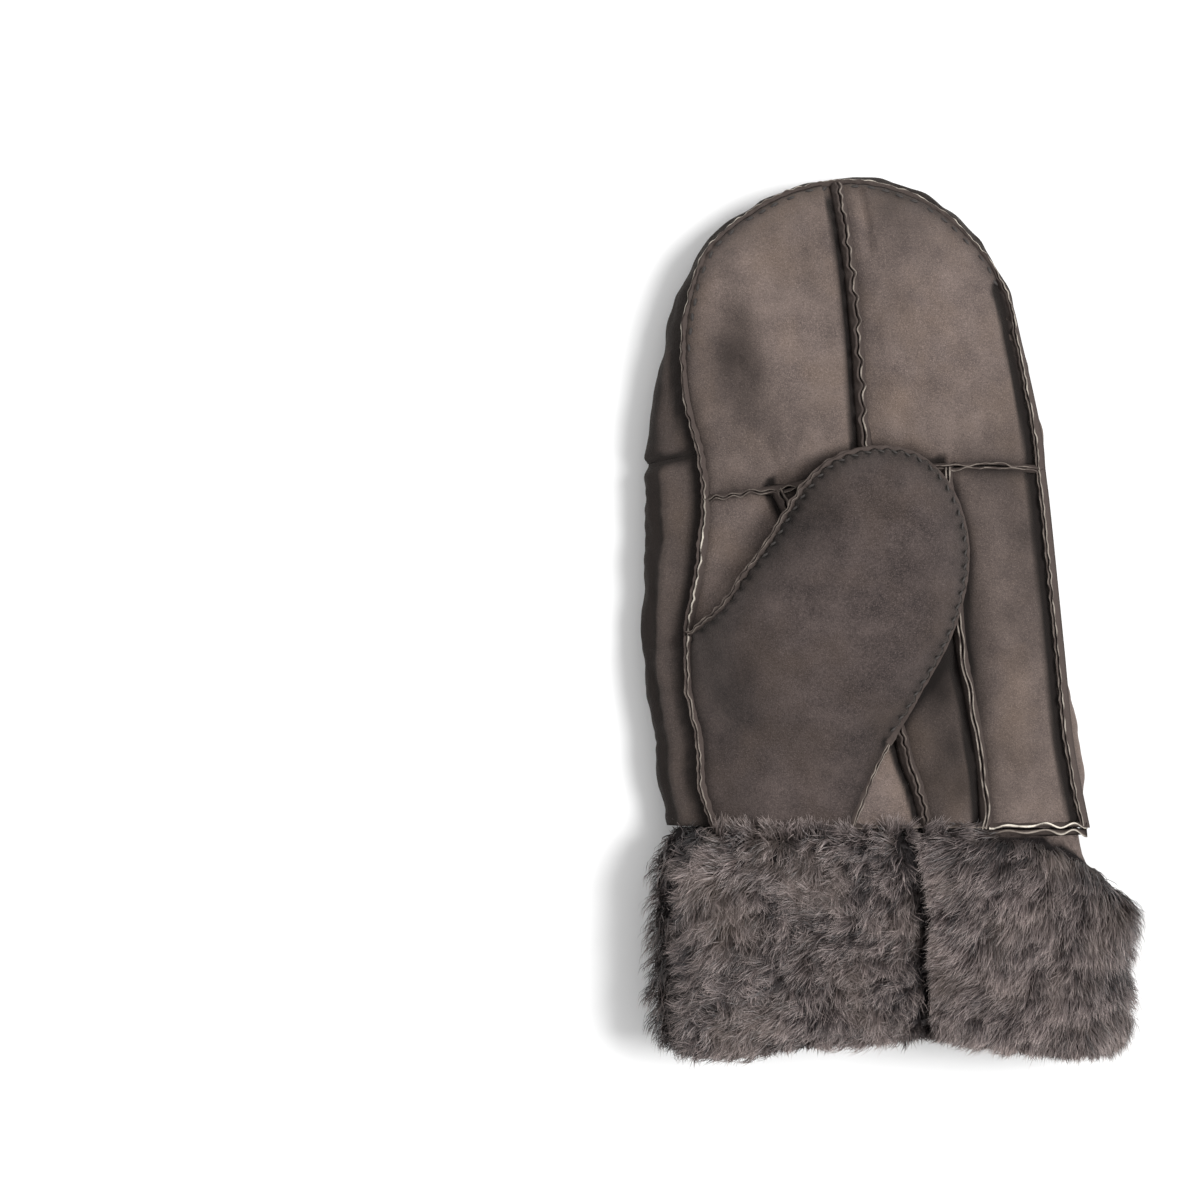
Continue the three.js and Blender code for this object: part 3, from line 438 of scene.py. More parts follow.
class Shape:
    """Points and faces, with a finish for each face and named numbers for each point."""

    def __init__(self):
        self.points, self.faces, self.values, self.count = [], [], [], 0

    def add(self, points, faces, finish=0, **values):
        """faces holds arrays of three or four point numbers a row."""
        self.faces += [(np.asarray(array) + self.count, finish) for array in faces]
        self.points.append(points)
        self.values.append({name: np.broadcast_to(v, len(points)) for name, v in values.items()})
        self.count += len(points)

    def make(self, name, materials, slot=None, nodes=()):
        mesh = bpy.data.meshes.new(name)
        mesh.vertices.add(self.count)
        mesh.vertices.foreach_set("co", (np.concatenate(self.points) * MM).astype(np.float32).ravel())
        sizes = np.concatenate([np.full(len(array), array.shape[1]) for array, _ in self.faces])
        marks = np.concatenate([np.full(len(array), finish) for array, finish in self.faces])
        corners = np.concatenate([array.ravel() for array, _ in self.faces])
        mesh.loops.add(len(corners))
        mesh.loops.foreach_set("vertex_index", corners.astype(np.int32))
        mesh.polygons.add(len(sizes))
        mesh.polygons.foreach_set("loop_start", (np.cumsum(sizes) - sizes).astype(np.int32))
        mesh.polygons.foreach_set("material_index", marks.astype(np.int32))
        mesh.polygons.foreach_set("use_smooth", np.ones(len(sizes), bool))
        for key in sorted({key for values in self.values for key in values}):
            numbers = [v.get(key, np.zeros(len(p))) for v, p in zip(self.values, self.points)]
            attribute = mesh.attributes.new(key, "FLOAT", "POINT")
            attribute.data.foreach_set("value", np.concatenate(numbers).astype(np.float32))
        mesh.update(calc_edges=True)
        for material in materials:
            mesh.materials.append(material)
        piece = bpy.data.objects.new(name, mesh)
        bpy.context.scene.collection.objects.link(piece)
        if slot:
            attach(piece, "root")
        if nodes:
            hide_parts(*nodes)
        return piece


def grid_faces(rows, columns, closed=False):
    r, c = np.indices((rows - 1, columns - (not closed))).reshape(2, -1)
    right = (c + 1) % columns
    low, high = r * columns, (r + 1) * columns
    return np.stack([low + c, low + right, high + right, high + c], 1)


def tube_faces(rows, columns):
    """Faces of a tube's side, and of its two ends."""
    cap = np.stack([np.zeros(columns - 2, int), np.arange(1, columns - 1), np.arange(2, columns)], 1)
    return grid_faces(rows, columns, True), np.concatenate([cap, (cap + (rows - 1) * columns)[:, ::-1]])


def closed_between(shape, outer, inner, flip=False, finish=0, **values):
    """A closed sheet between two grids of points."""
    rows, columns = outer.shape[:2]
    n = rows * columns
    at = np.arange(n).reshape(rows, columns)
    ring = np.concatenate([at[0], at[1:, -1], at[-1, -2::-1], at[-2::-1, 0]])
    top = grid_faces(rows, columns)
    faces = [top, (top + n)[:, ::-1], np.stack([ring[:-1], ring[:-1] + n, ring[1:] + n, ring[1:]], 1)]
    if flip:
        faces = [array[:, ::-1] for array in faces]
    both = {key: np.tile(np.ravel(v), 2) for key, v in values.items()}
    shape.add(np.concatenate([outer.reshape(-1, 3), inner.reshape(-1, 3)]), faces, finish, **both)


def mitre(a, b):
    cross = a[0] * b[1] - a[1] * b[0]
    if abs(cross) / (np.linalg.norm(a) * np.linalg.norm(b)) < 0.25:
        return (a + b) / 2
    return (a @ a * np.array([b[1], -b[0]]) + b @ b * np.array([-a[1], a[0]])) / cross


def plan_of(sides, inset):
    """The plan of a four-sided panel, each side moved inward. Returns a grid for shares s and t."""
    centre = sum(side(0.5)[0] for side in sides.values()) / 4

    def normals(side, t):
        return left_of(unit(side(np.minimum(t + 0.01, 1)) - side(np.maximum(t - 0.01, 0))))

    def inward(name, t):
        side = sides[name]
        t = np.atleast_1d(np.asarray(t, float))
        sign = np.sign(normals(side, np.array([0.5]))[0] @ (centre - side(0.5)[0])) or 1
        return normals(side, t) * (sign * inset(name, t))[:, None]

    def corner(a, ta, b, tb):
        return sides[a](ta)[0] + mitre(inward(a, ta)[0], inward(b, tb)[0])

    bl, br = corner("bottom", 0, "left", 0), corner("bottom", 1, "right", 0)
    tl, tr = corner("top", 0, "left", 1), corner("top", 1, "right", 1)

    def moved(name, first, last, t):
        ends = sides[name]([0.0, 1.0]) + inward(name, [0.0, 1.0])
        drawn = sides[name](t) + inward(name, t)
        return drawn + np.outer(1 - t, first - ends[0]) + np.outer(t, last - ends[1])

    def at(s, t):
        bottom, top = moved("bottom", bl, br, s)[None], moved("top", tl, tr, s)[None]
        left, right = moved("left", bl, tl, t)[:, None], moved("right", br, tr, t)[:, None]
        S, T = s[None, :, None], t[:, None, None]
        p = bottom * (1 - T) + top * T + left * (1 - S) + right * S
        return p - bl * (1 - S) * (1 - T) - br * S * (1 - T) - tl * (1 - S) * T - tr * S * T

    return at


def panel_grids(sides, skin, inside, folded, spacing):
    """The outer and inner grid of a suede panel. sides are its bottom, top, left and right."""
    sides = dict(zip(("bottom", "top", "left", "right"), sides))

    def inner_inset(name, t):
        fold = folded.get(name, 0)
        return SEAM_GAP / 2 + WALL * (fold(t) if callable(fold) else np.full(len(t), float(fold)))

    outer_plan = plan_of(sides, lambda name, t: np.full(len(t), SEAM_GAP / 2))
    middle, half = np.linspace(0, 1, 21), np.array([0.5])

    def steps(line):
        even = np.linspace(0, 1, max(int(runs(line)[-1] / spacing), 4) + 1)
        return even - 0.175 * np.sin(2 * np.pi * even) / (2 * np.pi)

    s, t = steps(outer_plan(middle, half)[0]), steps(outer_plan(half, middle)[:, 0])
    outer, inner = outer_plan(s, t), plan_of(sides, inner_inset)(s, t)
    at_edge = np.zeros(outer.shape[:2], bool)
    at_edge[1:, [0, -1]] = at_edge[-1] = True
    tops = raised(outer, skin(outer.reshape(-1, 2)).reshape(at_edge.shape))
    return tops, raised(inner, inside(inner.reshape(-1, 2), at_edge.ravel()).reshape(at_edge.shape))


# Standing raw edges. The profile is across and up, and EDGE_RAW is how much of it is the cut.

EDGE_PROFILE = np.array([
    (2.1, -1.0), (1.42, 0.15), (0.98, 1.15), (0.8, 1.7), (0.54, 2.0), (0.25, 1.84), (0.1, 0.9), (0.1, -1.0),
])
EDGE_RAW = np.array([0.0, 0.0, 0.0, 0.42, 1.0, 0.6, 0.0, 0.0])
UP = np.array([0.0, 0.0, 1.0])


def spread_over(values, n):
    """One value, or values at even places, as n values."""
    values = np.atleast_1d(values)
    return np.interp(np.linspace(0, 1, n), np.linspace(0, 1, len(values)), values)


def raw_edge(shape, line, over, up, wave, seed, side, height=1.0, sway=0.35, thick=1.0, gap=0.0, pale=0.15,
             raw=1.0):
    """One raw suede edge that stands along a line and leans over to its own panel.

    Both edges of a seam share seed, so that they wave together. raw is how much of the cut shows, and pale
    turns it from tan to cream.
    """
    n, k = len(line), len(EDGE_PROFILE)
    height, sway, thick, gap, pale, raw = (spread_over(v, n) for v in (height, sway, thick, gap, pale, raw))
    run = runs(line)
    pair = sway * (0.75 * ripple_on(run, wave, seed, 5) + 0.6 * ripple_on(run, wave * 2.6, seed + 1, 5))
    own = 0.1 * ripple_on(run, wave * 0.7, seed + 7 * side + 20, 5)
    tall = height * (1 + 0.2 * ripple_on(run, wave * 0.9, seed + 40 + side, 5))
    open_by = gap + 0.09 * np.abs(ripple_on(run, wave * 1.9, seed + 3, 5))
    h = EDGE_PROFILE[:, 1]
    across = EDGE_PROFILE[:, 0] * thick[:, None]
    across = across + np.clip(h / 2, 0, 1) * (side * pair + own + open_by)[:, None]
    rise = np.where(h > 0, h * tall[:, None], h)
    points = line[:, None] + over[:, None] * across[..., None] + up[:, None] * rise[..., None]
    points[..., 2] = np.maximum(points[..., 2], 0)
    faces = tube_faces(n, k)
    if (np.cross(over, up) * np.gradient(line, axis=0)).sum(1).mean() > 0:
        faces = [array[:, ::-1] for array in faces]
    paleness = np.clip(pale * (1 + 0.5 * ripple_on(run, 15, seed + 60 + side, 5)), 0, 1)
    worn = raw * np.clip(1 + 0.35 * ripple_on(run, 6, seed + 80 + side, 5), 0, 1.2)
    worn = np.outer(worn, EDGE_RAW).ravel()
    shape.add(points.reshape(-1, 3), faces, 1, raw=worn, pale=np.repeat(paleness, k))


def seam_line(curve, height, step=0.5):
    """Points of a seam in steps of its length, with its height, and the way across it."""
    plan = evenly(curve, 400)
    p = line_of(plan, int(runs(line_of(plan, 100))[-1] / step) + 1)
    return raised(p, height(p)), raised(left_of(unit(np.gradient(p, axis=0))))


def seam(line, across, wave, seed, left, right, tilt=0.0, left_raw=1.0, **how):
    """Both raw edges of a seam, upright or tilted to the left. left and right are the shapes beside it."""
    tilt = np.reshape(tilt, (-1, 1))
    up = unit(across * np.sin(tilt) + UP * np.cos(tilt))
    over = unit(across * np.cos(tilt) - UP * np.sin(tilt))
    if left is not None:
        # left_raw hides part of the pale cut of the left edge: painted shade on the side away from the key
        # light.
        raw = np.multiply(left_raw, how.get("raw", 1.0))
        raw_edge(left, line, over, up, wave, seed, 1, **{**how, "raw": raw})
    if right is not None:
        raw_edge(right, line, -over, up, wave, seed, -1, **how)


def level_seam(curve, face, *args, **how):
    seam(*seam_line(curve, face), *args, **how)


def threads(shape, spot, along, up, length, width):
    """Short threads pressed into the suede, each at its own spot."""
    up = unit(up)
    along = unit(along - up * (along * up).sum(1)[:, None])
    u, v = np.linspace(-1, 1, 7), np.linspace(0, 2 * np.pi, 7)[:-1]
    reach = np.sqrt(np.maximum(1 - u**2, 0.02))
    body = (
        spot[:, None, None]
        + along[:, None, None] * (u * length / 2)[None, :, None, None]
        + np.cross(up, along)[:, None, None] * (reach[:, None] * np.cos(v) * width / 2)[None, :, :, None]
        + up[:, None, None] * (reach[:, None] * np.sin(v) * width / 2)[None, :, :, None]
    )
    m, n, k = body.shape[:3]
    shift = (np.arange(m) * n * k)[:, None, None]
    faces = [(one + shift).reshape(-1, one.shape[1]) for one in tube_faces(n, k)]
    shape.add(body.reshape(-1, 3), faces, 2)


def stitches(shape, line, normal, every, length, width, seed):
    """Threads in nearly even steps along a line."""
    run = runs(line)
    starts = np.arange(every, run[-1] - every, every)
    starts = starts + np.random.default_rng(seed).uniform(-0.2, 0.2, len(starts)) * every
    spot = on_line(starts, run, line)
    along = unit(on_line(starts + 0.4, run, line) - spot)
    threads(shape, spot, along, on_line(starts, run, normal), length, width)


# Finishes


def written(operation, turned=False):
    """A sum of two sockets or numbers as a Math node. turned swaps the two."""

    def method(self, other):
        pair = (other, self) if turned else (self, other)
        return self.finish.node("ShaderNodeMath", {"operation": operation}, dict(enumerate(pair)))

    return method


class Socket:
    """An output of a node, on which sums can be written."""

    __add__, __radd__ = written("ADD"), written("ADD", True)
    __sub__, __rsub__ = written("SUBTRACT"), written("SUBTRACT", True)
    __mul__, __rmul__ = written("MULTIPLY"), written("MULTIPLY", True)

    def __init__(self, finish, socket):
        self.finish, self.socket = finish, socket


class Finish:
    """A material that is put together from nodes. Its colours are arrays of red, green and blue."""

    def __init__(self, name):
        self.material = bpy.data.materials.new(name)
        self.material.use_nodes = True
        self.tree = self.material.node_tree
        self.surface = self.tree.nodes["Principled BSDF"]

    def node(self, kind, settings=None, sockets=None, output=0):
        node = self.tree.nodes.new(kind)
        for key, value in (settings or {}).items():
            if key == "stops":
                while len(node.color_ramp.elements) < len(value):
                    node.color_ramp.elements.new(0.5)
                for element, (position, colour) in zip(node.color_ramp.elements, value):
                    element.position, element.color = position, (*colour, 1)
            else:
                setattr(node, key, value)
        for key, value in (sockets or {}).items():
            self.put(node.inputs[key], value)
        return Socket(self, node.outputs[output])

    def put(self, socket, value):
        if isinstance(value, Socket):
            self.tree.links.new(value.socket, socket)
        elif np.size(value) == 3 and len(socket.default_value) == 4:
            socket.default_value = (*value, 1)
        else:
            socket.default_value = value

    def set(self, **sockets):
        for key, value in sockets.items():
            self.put(self.surface.inputs[key.replace("_", " ")], value)

    def number(self, name):
        return self.node("ShaderNodeAttribute", {"attribute_name": name}, output=2)

    def noise(self, scale, detail=3.0, roughness=0.55, stretch_by=None, twist=0.0):
        place = self.node("ShaderNodeTexCoord", output=3)
        if stretch_by:
            place = self.node("ShaderNodeMapping", {}, {0: place, "Scale": stretch_by})
        sockets = {0: place, "Scale": scale, "Detail": detail, "Roughness": roughness, "Distortion": twist}
        return self.node("ShaderNodeTexNoise", {}, sockets)

    def ramp(self, value, low, high):
        return self.node("ShaderNodeMapRange", {"clamp": True}, {0: value, 1: low, 2: high})

    def mix(self, share, a, b, blend="MIX"):
        settings = {"data_type": "RGBA", "blend_type": blend, "clamp_factor": True}
        return self.node("ShaderNodeMix", settings, {0: share, 6: a, 7: b}, output=2)

    def bump(self, height, strength, depth):
        return self.node("ShaderNodeBump", {}, {"Strength": strength, "Distance": depth, "Height": height})


def suede_finish(name, colour, mottled=1.0):
    """Napped suede: mottled, with fine light specks, and painted shade from the seam number where it sinks
    to a seam, in furrows and in low spots.
    """
    f = Finish(name)
    shades = np.array([(1.27, 1.26, 1.24), (0.62, 0.62, 0.64), (1.12, 1.04, 0.9)])
    light, dark, warm = shades * np.array([[mottled], [1 / mottled], [1.0]]) * colour
    broad, patches = f.noise(26, 2), f.noise(130, 4, 0.6)
    nap, specks = f.noise(1100, 4, 0.75), f.noise(2700, 2, 0.6)
    shade = f.ramp(broad * 0.5 + f.noise(75, 3, 0.5) * 0.55 + patches * 0.6 + nap * 0.7, 0.9, 1.4)
    base = f.mix(shade, dark, light)
    base = f.mix(f.ramp(f.noise(48, 3), 0.46, 0.7) * 0.55, base, warm)
    base = f.mix(f.ramp(specks, 0.54, 0.7) * 0.45, base, 1.8 * light)
    base = f.mix(f.ramp(specks, 0.46, 0.3) * 0.45, base, 0.55 * dark)
    # Painted shade: the seam number takes the suede towards a tenth of its dark tone.
    base = f.mix(f.number("seam"), base, 0.1 * dark)
    height = nap * 0.6 + patches * 0.6 + specks * 0.4
    rough = f.ramp(patches, 0.2, 0.9) * 0.1 + 0.86
    f.set(Base_Color=base, Roughness=rough, Normal=f.bump(height, 0.7, 0.0007))
    f.set(Specular_IOR_Level=0.15, Sheen_Weight=0.1, Sheen_Roughness=0.5, Sheen_Tint=(0.75, 0.68, 0.62))
    return f.material


def edge_finish(name, suede, tan, cream):
    """Cut edge: suede at its sides, darkened by painted shade, and pale, fibrous hide on top."""
    f = Finish(name)
    # Painted shade: the sides are the suede at half its colour.
    side = 0.5 * suede
    fibres, lumps = f.noise(1700, 3, 0.7), f.noise(260, 3, 0.6)
    cut = f.ramp(f.number("raw") + (fibres - 0.5) * 0.7 + (lumps - 0.5) * 0.9, 0.5, 1.0)
    base = f.mix(cut, side, f.mix(f.number("pale"), tan, cream))
    base = f.mix(f.ramp(fibres, 0.45, 0.75) * 0.3, base, 0.6 * side)
    f.set(Base_Color=base, Roughness=0.92, Normal=f.bump(fibres * 0.6 + lumps * 0.6, 0.7, 0.0006))
    f.set(Specular_IOR_Level=0.15)
    return f.material


def thread_finish(name, colour):
    f = Finish(name)
    f.set(Base_Color=f.mix(f.noise(3000, 1, 0.5, (1, 3, 1)), 0.6 * colour, 1.5 * colour), Roughness=0.7)
    return f.material


def fur_finish(name, root, middle, tip):
    """Wool: painted shade darkest at the root, paler at the tip, each lock a little different; the lock
    number also carries painted shade between locks.
    """
    f = Finish(name)
    stops = [(0.0, root), (0.4, lerp(root, middle, 0.2)), (0.75, middle), (1.0, tip)]
    along = f.node("ShaderNodeValToRGB", {"stops": stops}, {0: f.number("along")})
    base = f.mix(1.0, along, f.mix(f.number("lock"), (0.2, 0.19, 0.2), (2.3, 2.23, 2.15)), "MULTIPLY")
    base = f.mix(f.ramp(f.noise(60, 2), 0.45, 0.7) * 0.25, base, tip * (0.9, 0.82, 0.72))
    f.set(Base_Color=base, Roughness=0.42, Specular_IOR_Level=0.45)
    return f.material


def underwool_finish(name, root, suede):
    """The dense wool under the strands, near black as painted shade deep in the fur, and the bare hide at
    the wrist.
    """
    f = Finish(name)
    curls, nap = f.noise(420, 4, 0.65, None, 1.2), f.noise(1100, 3, 0.7)
    base = f.mix(curls, 0.3 * root, 1.2 * root)
    hide = f.mix(nap, 0.6 * suede, 1.5 * suede)
    base = f.mix(f.number("hide"), base, hide)
    f.set(Base_Color=base, Roughness=0.95, Normal=f.bump(curls, 0.9, 0.002), Specular_IOR_Level=0.1)
    return f.material


MADE = {}
# Finishes: their function, the settings that it takes and its other values.
FINISHES = {
    "hand_suede": (suede_finish, ["suede"]),
    "thumb_nap": (suede_finish, ["thumb_suede"], 1.25),
    "raw_edge": (edge_finish, ["suede", "edge_tan", "edge_cream"]),
    "thread": (thread_finish, ["thread"]),
    "wool": (fur_finish, ["fur_root", "fur_middle", "fur_tip"]),
    "underwool": (underwool_finish, ["fur_root", "suede"]),
}
HAND = ("hand_suede", "raw_edge", "thread")
THUMB = ("thumb_nap", "raw_edge", "thread")
CUFF = ("wool", "raw_edge", "underwool")


def finishes(names):
    """Finishes by name, each made once from the settings."""
    look = bpy.context.scene.mitten
    for name in names:
        if name not in MADE:
            make, colours, *others = FINISHES[name]
            MADE[name] = make(name, *(np.array(getattr(look, colour)) for colour in colours), *others)
    return [MADE[name] for name in names]


# Suede pieces


def seam_shade(p, lines, furrows=(), soiled=(), under_thumb=1.0, halo=0.18):
    """Painted shade beside seams, along the thumb's free edge, in the furrows and in low spots, with a
    little random unevenness of tone, from 0 to 1.
    """
    far = distance(p, *lines)
    # Painted shade that darkens the suede towards each seam, close by and farther out.
    shade = 0.42 * bell(far, 2.8) + halo * bell(far, 11)
    # Painted shadow of the thumb on the palm beside its free edge.
    shade += 0.6 * under_thumb * bell(distance(p, free_edge), 2.6)
    shade += 0.08 * ripple(p, 34, 81) + 0.05 * ripple(p, 13, 82)
    if len(furrows):
        from_tip = np.linalg.norm(p - rim(TIP), axis=1)
        # Painted shadow in the furrow on the thumb side of each upright seam, fading at the tip.
        shade += 1.05 * trench(p, furrows, 2.8, 1.6) * smooth(from_tip, 3.5, 8)
    # Spots of painted shade, and of painted light where the darkness is below nought.
    for *place, size, dark in soiled:
        away = (p - hand(place)) / (size * HAND_WIDTH) / (1, 1.7)
        shade += dark * np.exp(-(away**2).sum(1))
    return np.clip(shade, 0, 0.98)


STITCH_EVERY = 4.2


def suede_piece(sides, folded, seams=PALM_EDGES, furrows=UPRIGHT_SEAMS, soiled=PAINTED_SHADE_SPOTS, skin=palm_skin,
                inside=lambda p, at_edge: palm_face(p) - WALL, spacing=1.25, scalloped=False, halo=0.18):
    """Starts a panel of the palm side. Its raw edges are added to the shape that this returns."""
    outer, inner = panel_grids(sides, skin, inside, folded, spacing)
    flat = outer[..., :2].reshape(-1, 2)
    shade = seam_shade(flat, seams, furrows, soiled, 1.0 - scalloped, halo)
    if scalloped:
        far, run, _ = nearest(flat, free_edge)
        before, after = (on_line(run + k, runs(free_edge), free_edge) for k in (-0.2, 0.2))
        wave = -np.cos(2 * np.pi * run / STITCH_EVERY)
        move = left_of(unit(after - before)) * (0.45 * wave * bell(far, 2.2))[:, None]
        outer[..., :2] += move.reshape(len(outer), -1, 2)
        # Painted shade in the gathers between the stitches at the thumb's edge.
        shade = np.clip(shade + 0.75 * bell(far - 0.9, 1.0) * smooth(-wave, 0.2, 0.9), 0, 0.95)
    shape = Shape()
    closed_between(shape, outer, inner, seam=shade)
    return shape


def finish_suede(name, shape, looks=HAND, slot="suede"):
    shape.make(name + "_suede", finishes(looks), slot, [name])


# Raw edges at shares of their seam: the seam's share, then the value there.
RIM_LOOK = {
    "tilt": ([0.25, 0.42, 0.62, 0.8], [0.5, 0.9, 0.9, -0.35]),
    "height": ([0.25, 0.4, 0.66, 0.8], [1.0, 0.5, 0.5, 0.85]),
    "sway": ([0.66, 0.8], [0.35, 0.18]),
    "inner_pale": ([0.14, 0.165, 0.235, 0.25], [0.15, 1.0, 1.0, 0.1]),
    "inner_raw": ([0.25, 0.4, 0.7, 0.8], [1.0, 0.3, 0.3, 0.8]),
    "outer_pale": ([0.25, 0.4, 0.75, 0.85], [0.05, 0.6, 0.5, 0.3]),
    "outer_raw": ([0.14, 0.165, 0.235, 0.25, 0.35, 0.45], [0.8, 0.25, 0.25, 0.8, 0.8, 1.0]),
}
THUMB_LOOK = {
    "height": ([0, 0.3, 0.42, 0.52, 0.9, 1], [0.8, 0.8, 0.45, 0.25, 0.25, 0.6]),
    "tilt": ([0, 0.3, 0.5], [0.7, 0.8, 1.45]),
    "thick": ([0.3, 0.5, 0.9, 1], [0.85, 0.4, 0.4, 0.7]),
    "raw": ([0.3, 0.45, 0.9, 1], [0.85, 0.1, 0.1, 0.7]),
}
FINGER_EDGE = {
    "left_raw": 0.45, "sway": [0.4, 0.8, 0.75], "thick": 1.12, "pale": [0.3, 0.15, 0.1],
    "raw": [1.0, 0.8, 1.0],
}
KNUCKLE_EDGE = {"sway": 0.85, "pale": 0.08, "height": 0.62, "thick": 0.75, "raw": 0.8}
WRIST_PALM = {"gap": [0.2, 0.3, 0.3], "height": 1.05, "pale": 1.0, "raw": 1.15}
WRIST_CUFF = {
    "gap": [0.1, 0.5, 1.1], "height": [0.6, 0.65, 0.9], "pale": [0.05, 0.15, 0.55], "raw": [0.8, 0.95, 1.15],
}


def rim_edges(start, end, face, seed, inner=None, outer=None):
    """The raw edges of the palm's outline between two shares of it, palest at the knuckles and the tip."""
    share = lerp(start, end, np.linspace(0, 1, 801))
    run = runs(rim(share))
    share = np.interp(np.linspace(0, run[-1], int(run[-1] / 0.5) + 2), run, share)
    look = {key: np.interp(share, *row) for key, row in RIM_LOOK.items()}
    how = {key: look[key] for key in ("tilt", "height", "sway")}
    for side, pair in (("inner", (None, inner)), ("outer", (outer, None))):
        pale, raw = look[side + "_pale"], look[side + "_raw"]
        thick = look["height"] * np.where(pale > 0.7, 1.3, 1.0)
        line, outward = raised(rim(share), face(rim(share))), raised(rim_outward(share))
        seam(line, outward, 4.4, seed, *pair, thick=thick, pale=pale, raw=raw, **how)


def build_fingers():
    thumb_side = suede_piece([
        part(knuckles, 0, AT_FINGER_SEAM), part(rim, DOME_IN, TIP), part(rim, KNUCKLE_IN, DOME_IN),
        part(finger_seam),
    ], {"top": 1, "left": 1})
    outer_side = suede_piece([
        part(knuckles, AT_FINGER_SEAM), part(rim, TIP, DOME_OUT), part(finger_seam),
        part(rim, KNUCKLE_OUT, DOME_OUT),
    ], {"top": 1, "right": 1})
    level_seam(finger_seam, palm_face, 5.2, 100, thumb_side, outer_side, **FINGER_EDGE)
    for name, shape, seed, knuckle, edge, sewn in (
        ("thumb", thumb_side, 0, (0, AT_FINGER_SEAM), (KNUCKLE_IN, TIP), (DOME_IN - 0.09, TIP)),
        ("outer", outer_side, 1, (AT_FINGER_SEAM, 1), (TIP, KNUCKLE_OUT), (TIP, DOME_OUT + 0.05)),
    ):
        level_seam(stretch(knuckles, *knuckle), palm_face, 4.6, 110 + seed, shape, None, **KNUCKLE_EDGE)
        rim_edges(*edge, palm_face, 120 + seed, shape)
        share = np.linspace(*sewn, 121)
        p = beside_rim(share, -1.5 + 0.35 * ripple_on(share * 400, 9, 48))
        inward = raised(rim_outward(share) * 0.4, 1.0)
        stitches(shape, raised(p, palm_skin(p) + 0.1), inward, 5.2, 2.6, 1.15, 5)
        finish_suede(f"finger_front_{name}_side", shape)


def wrist_edge(palm, cuff):
    """The thick, pale, wavy wrist seam at the outer side, where no fur covers it."""
    line = straight(WRIST["outer_seam"] + (0.5, 0), WRIST["outer_side"] + (0.9, 0))
    look = WRIST_PALM if palm else WRIST_CUFF
    level_seam(line, palm_face, 11.0, 152, palm, cuff, sway=[1.2, 1.6, 1.2], thick=[1.3, 1.0], **look)


def build_palm():
    at_thumb = chained([
        part(thumb_edge, 1, EDGE_END), part(thumb_mouth, 1, 0), part(rim, THUMB_START, KNUCKLE_IN),
    ], [0.24, 0.68, 1])
    under = suede_piece([
        straight(WRIST["crease"], WRIST["thumb_seam"]), part(knuckles, 0, AT_THUMB_SEAM), at_thumb,
        part(thumb_seam),
    ], {"left": lambda t: smooth(t, 0.66, 0.74)}, soiled=(), halo=0.0)
    middle = suede_piece([
        straight(WRIST["thumb_seam"], WRIST["outer_seam"]), part(knuckles, AT_THUMB_SEAM, AT_OUTER_SEAM),
        part(thumb_seam), part(outer_seam),
    ], {})
    outer = suede_piece([
        straight(WRIST["outer_seam"], WRIST["outer_side"]), part(knuckles, AT_OUTER_SEAM), part(outer_seam),
        part(rim, 1, KNUCKLE_OUT),
    ], {"right": 1}, soiled=[*PAINTED_SHADE_SPOTS, (0.33, 0.25, 0.5, 0.17)])
    for shape, start, end, seed in (
        (under, 0, AT_THUMB_SEAM, 110), (middle, AT_THUMB_SEAM, AT_OUTER_SEAM, 111),
        (outer, AT_OUTER_SEAM, 1, 111),
    ):
        level_seam(stretch(knuckles, start, end), palm_face, 4.6, seed, None, shape, **KNUCKLE_EDGE)
    how = {"left_raw": 0.7, "sway": 0.6, "pale": 0.02, "raw": 0.8, "thick": 1.15}
    level_seam(thumb_seam, palm_face, 4.4, 130, under, middle, **how)
    level_seam(outer_seam, palm_face, 9.0, 140, middle, outer, left_raw=0.9, sway=0.65, pale=0.25)
    rim_edges(THUMB_START, KNUCKLE_IN, palm_face, 122, under)
    rim_edges(KNUCKLE_OUT, 1, palm_face, 123, outer)
    for shape, start, end in ((under, "crease", "thumb_seam"), (middle, "thumb_seam", "outer_seam")):
        level_seam(straight(WRIST[start], WRIST[end]), palm_face, 12.0, 150, shape, None, pale=0, height=0.6)
    wrist_edge(outer, None)
    for name, shape in (("palm_under_thumb", under), ("palm_middle", middle), ("palm_outer", outer)):
        finish_suede(name, shape)


def thumb_edge_height(p):
    return palm_form(p) + thumb_lift(p) - 0.2


def thumb_back_inside(p, at_edge):
    return np.where(at_edge, thumb_inside(p) - SEAM_STEP, thumb_underside(p) + THUMB_BACK_WALL)


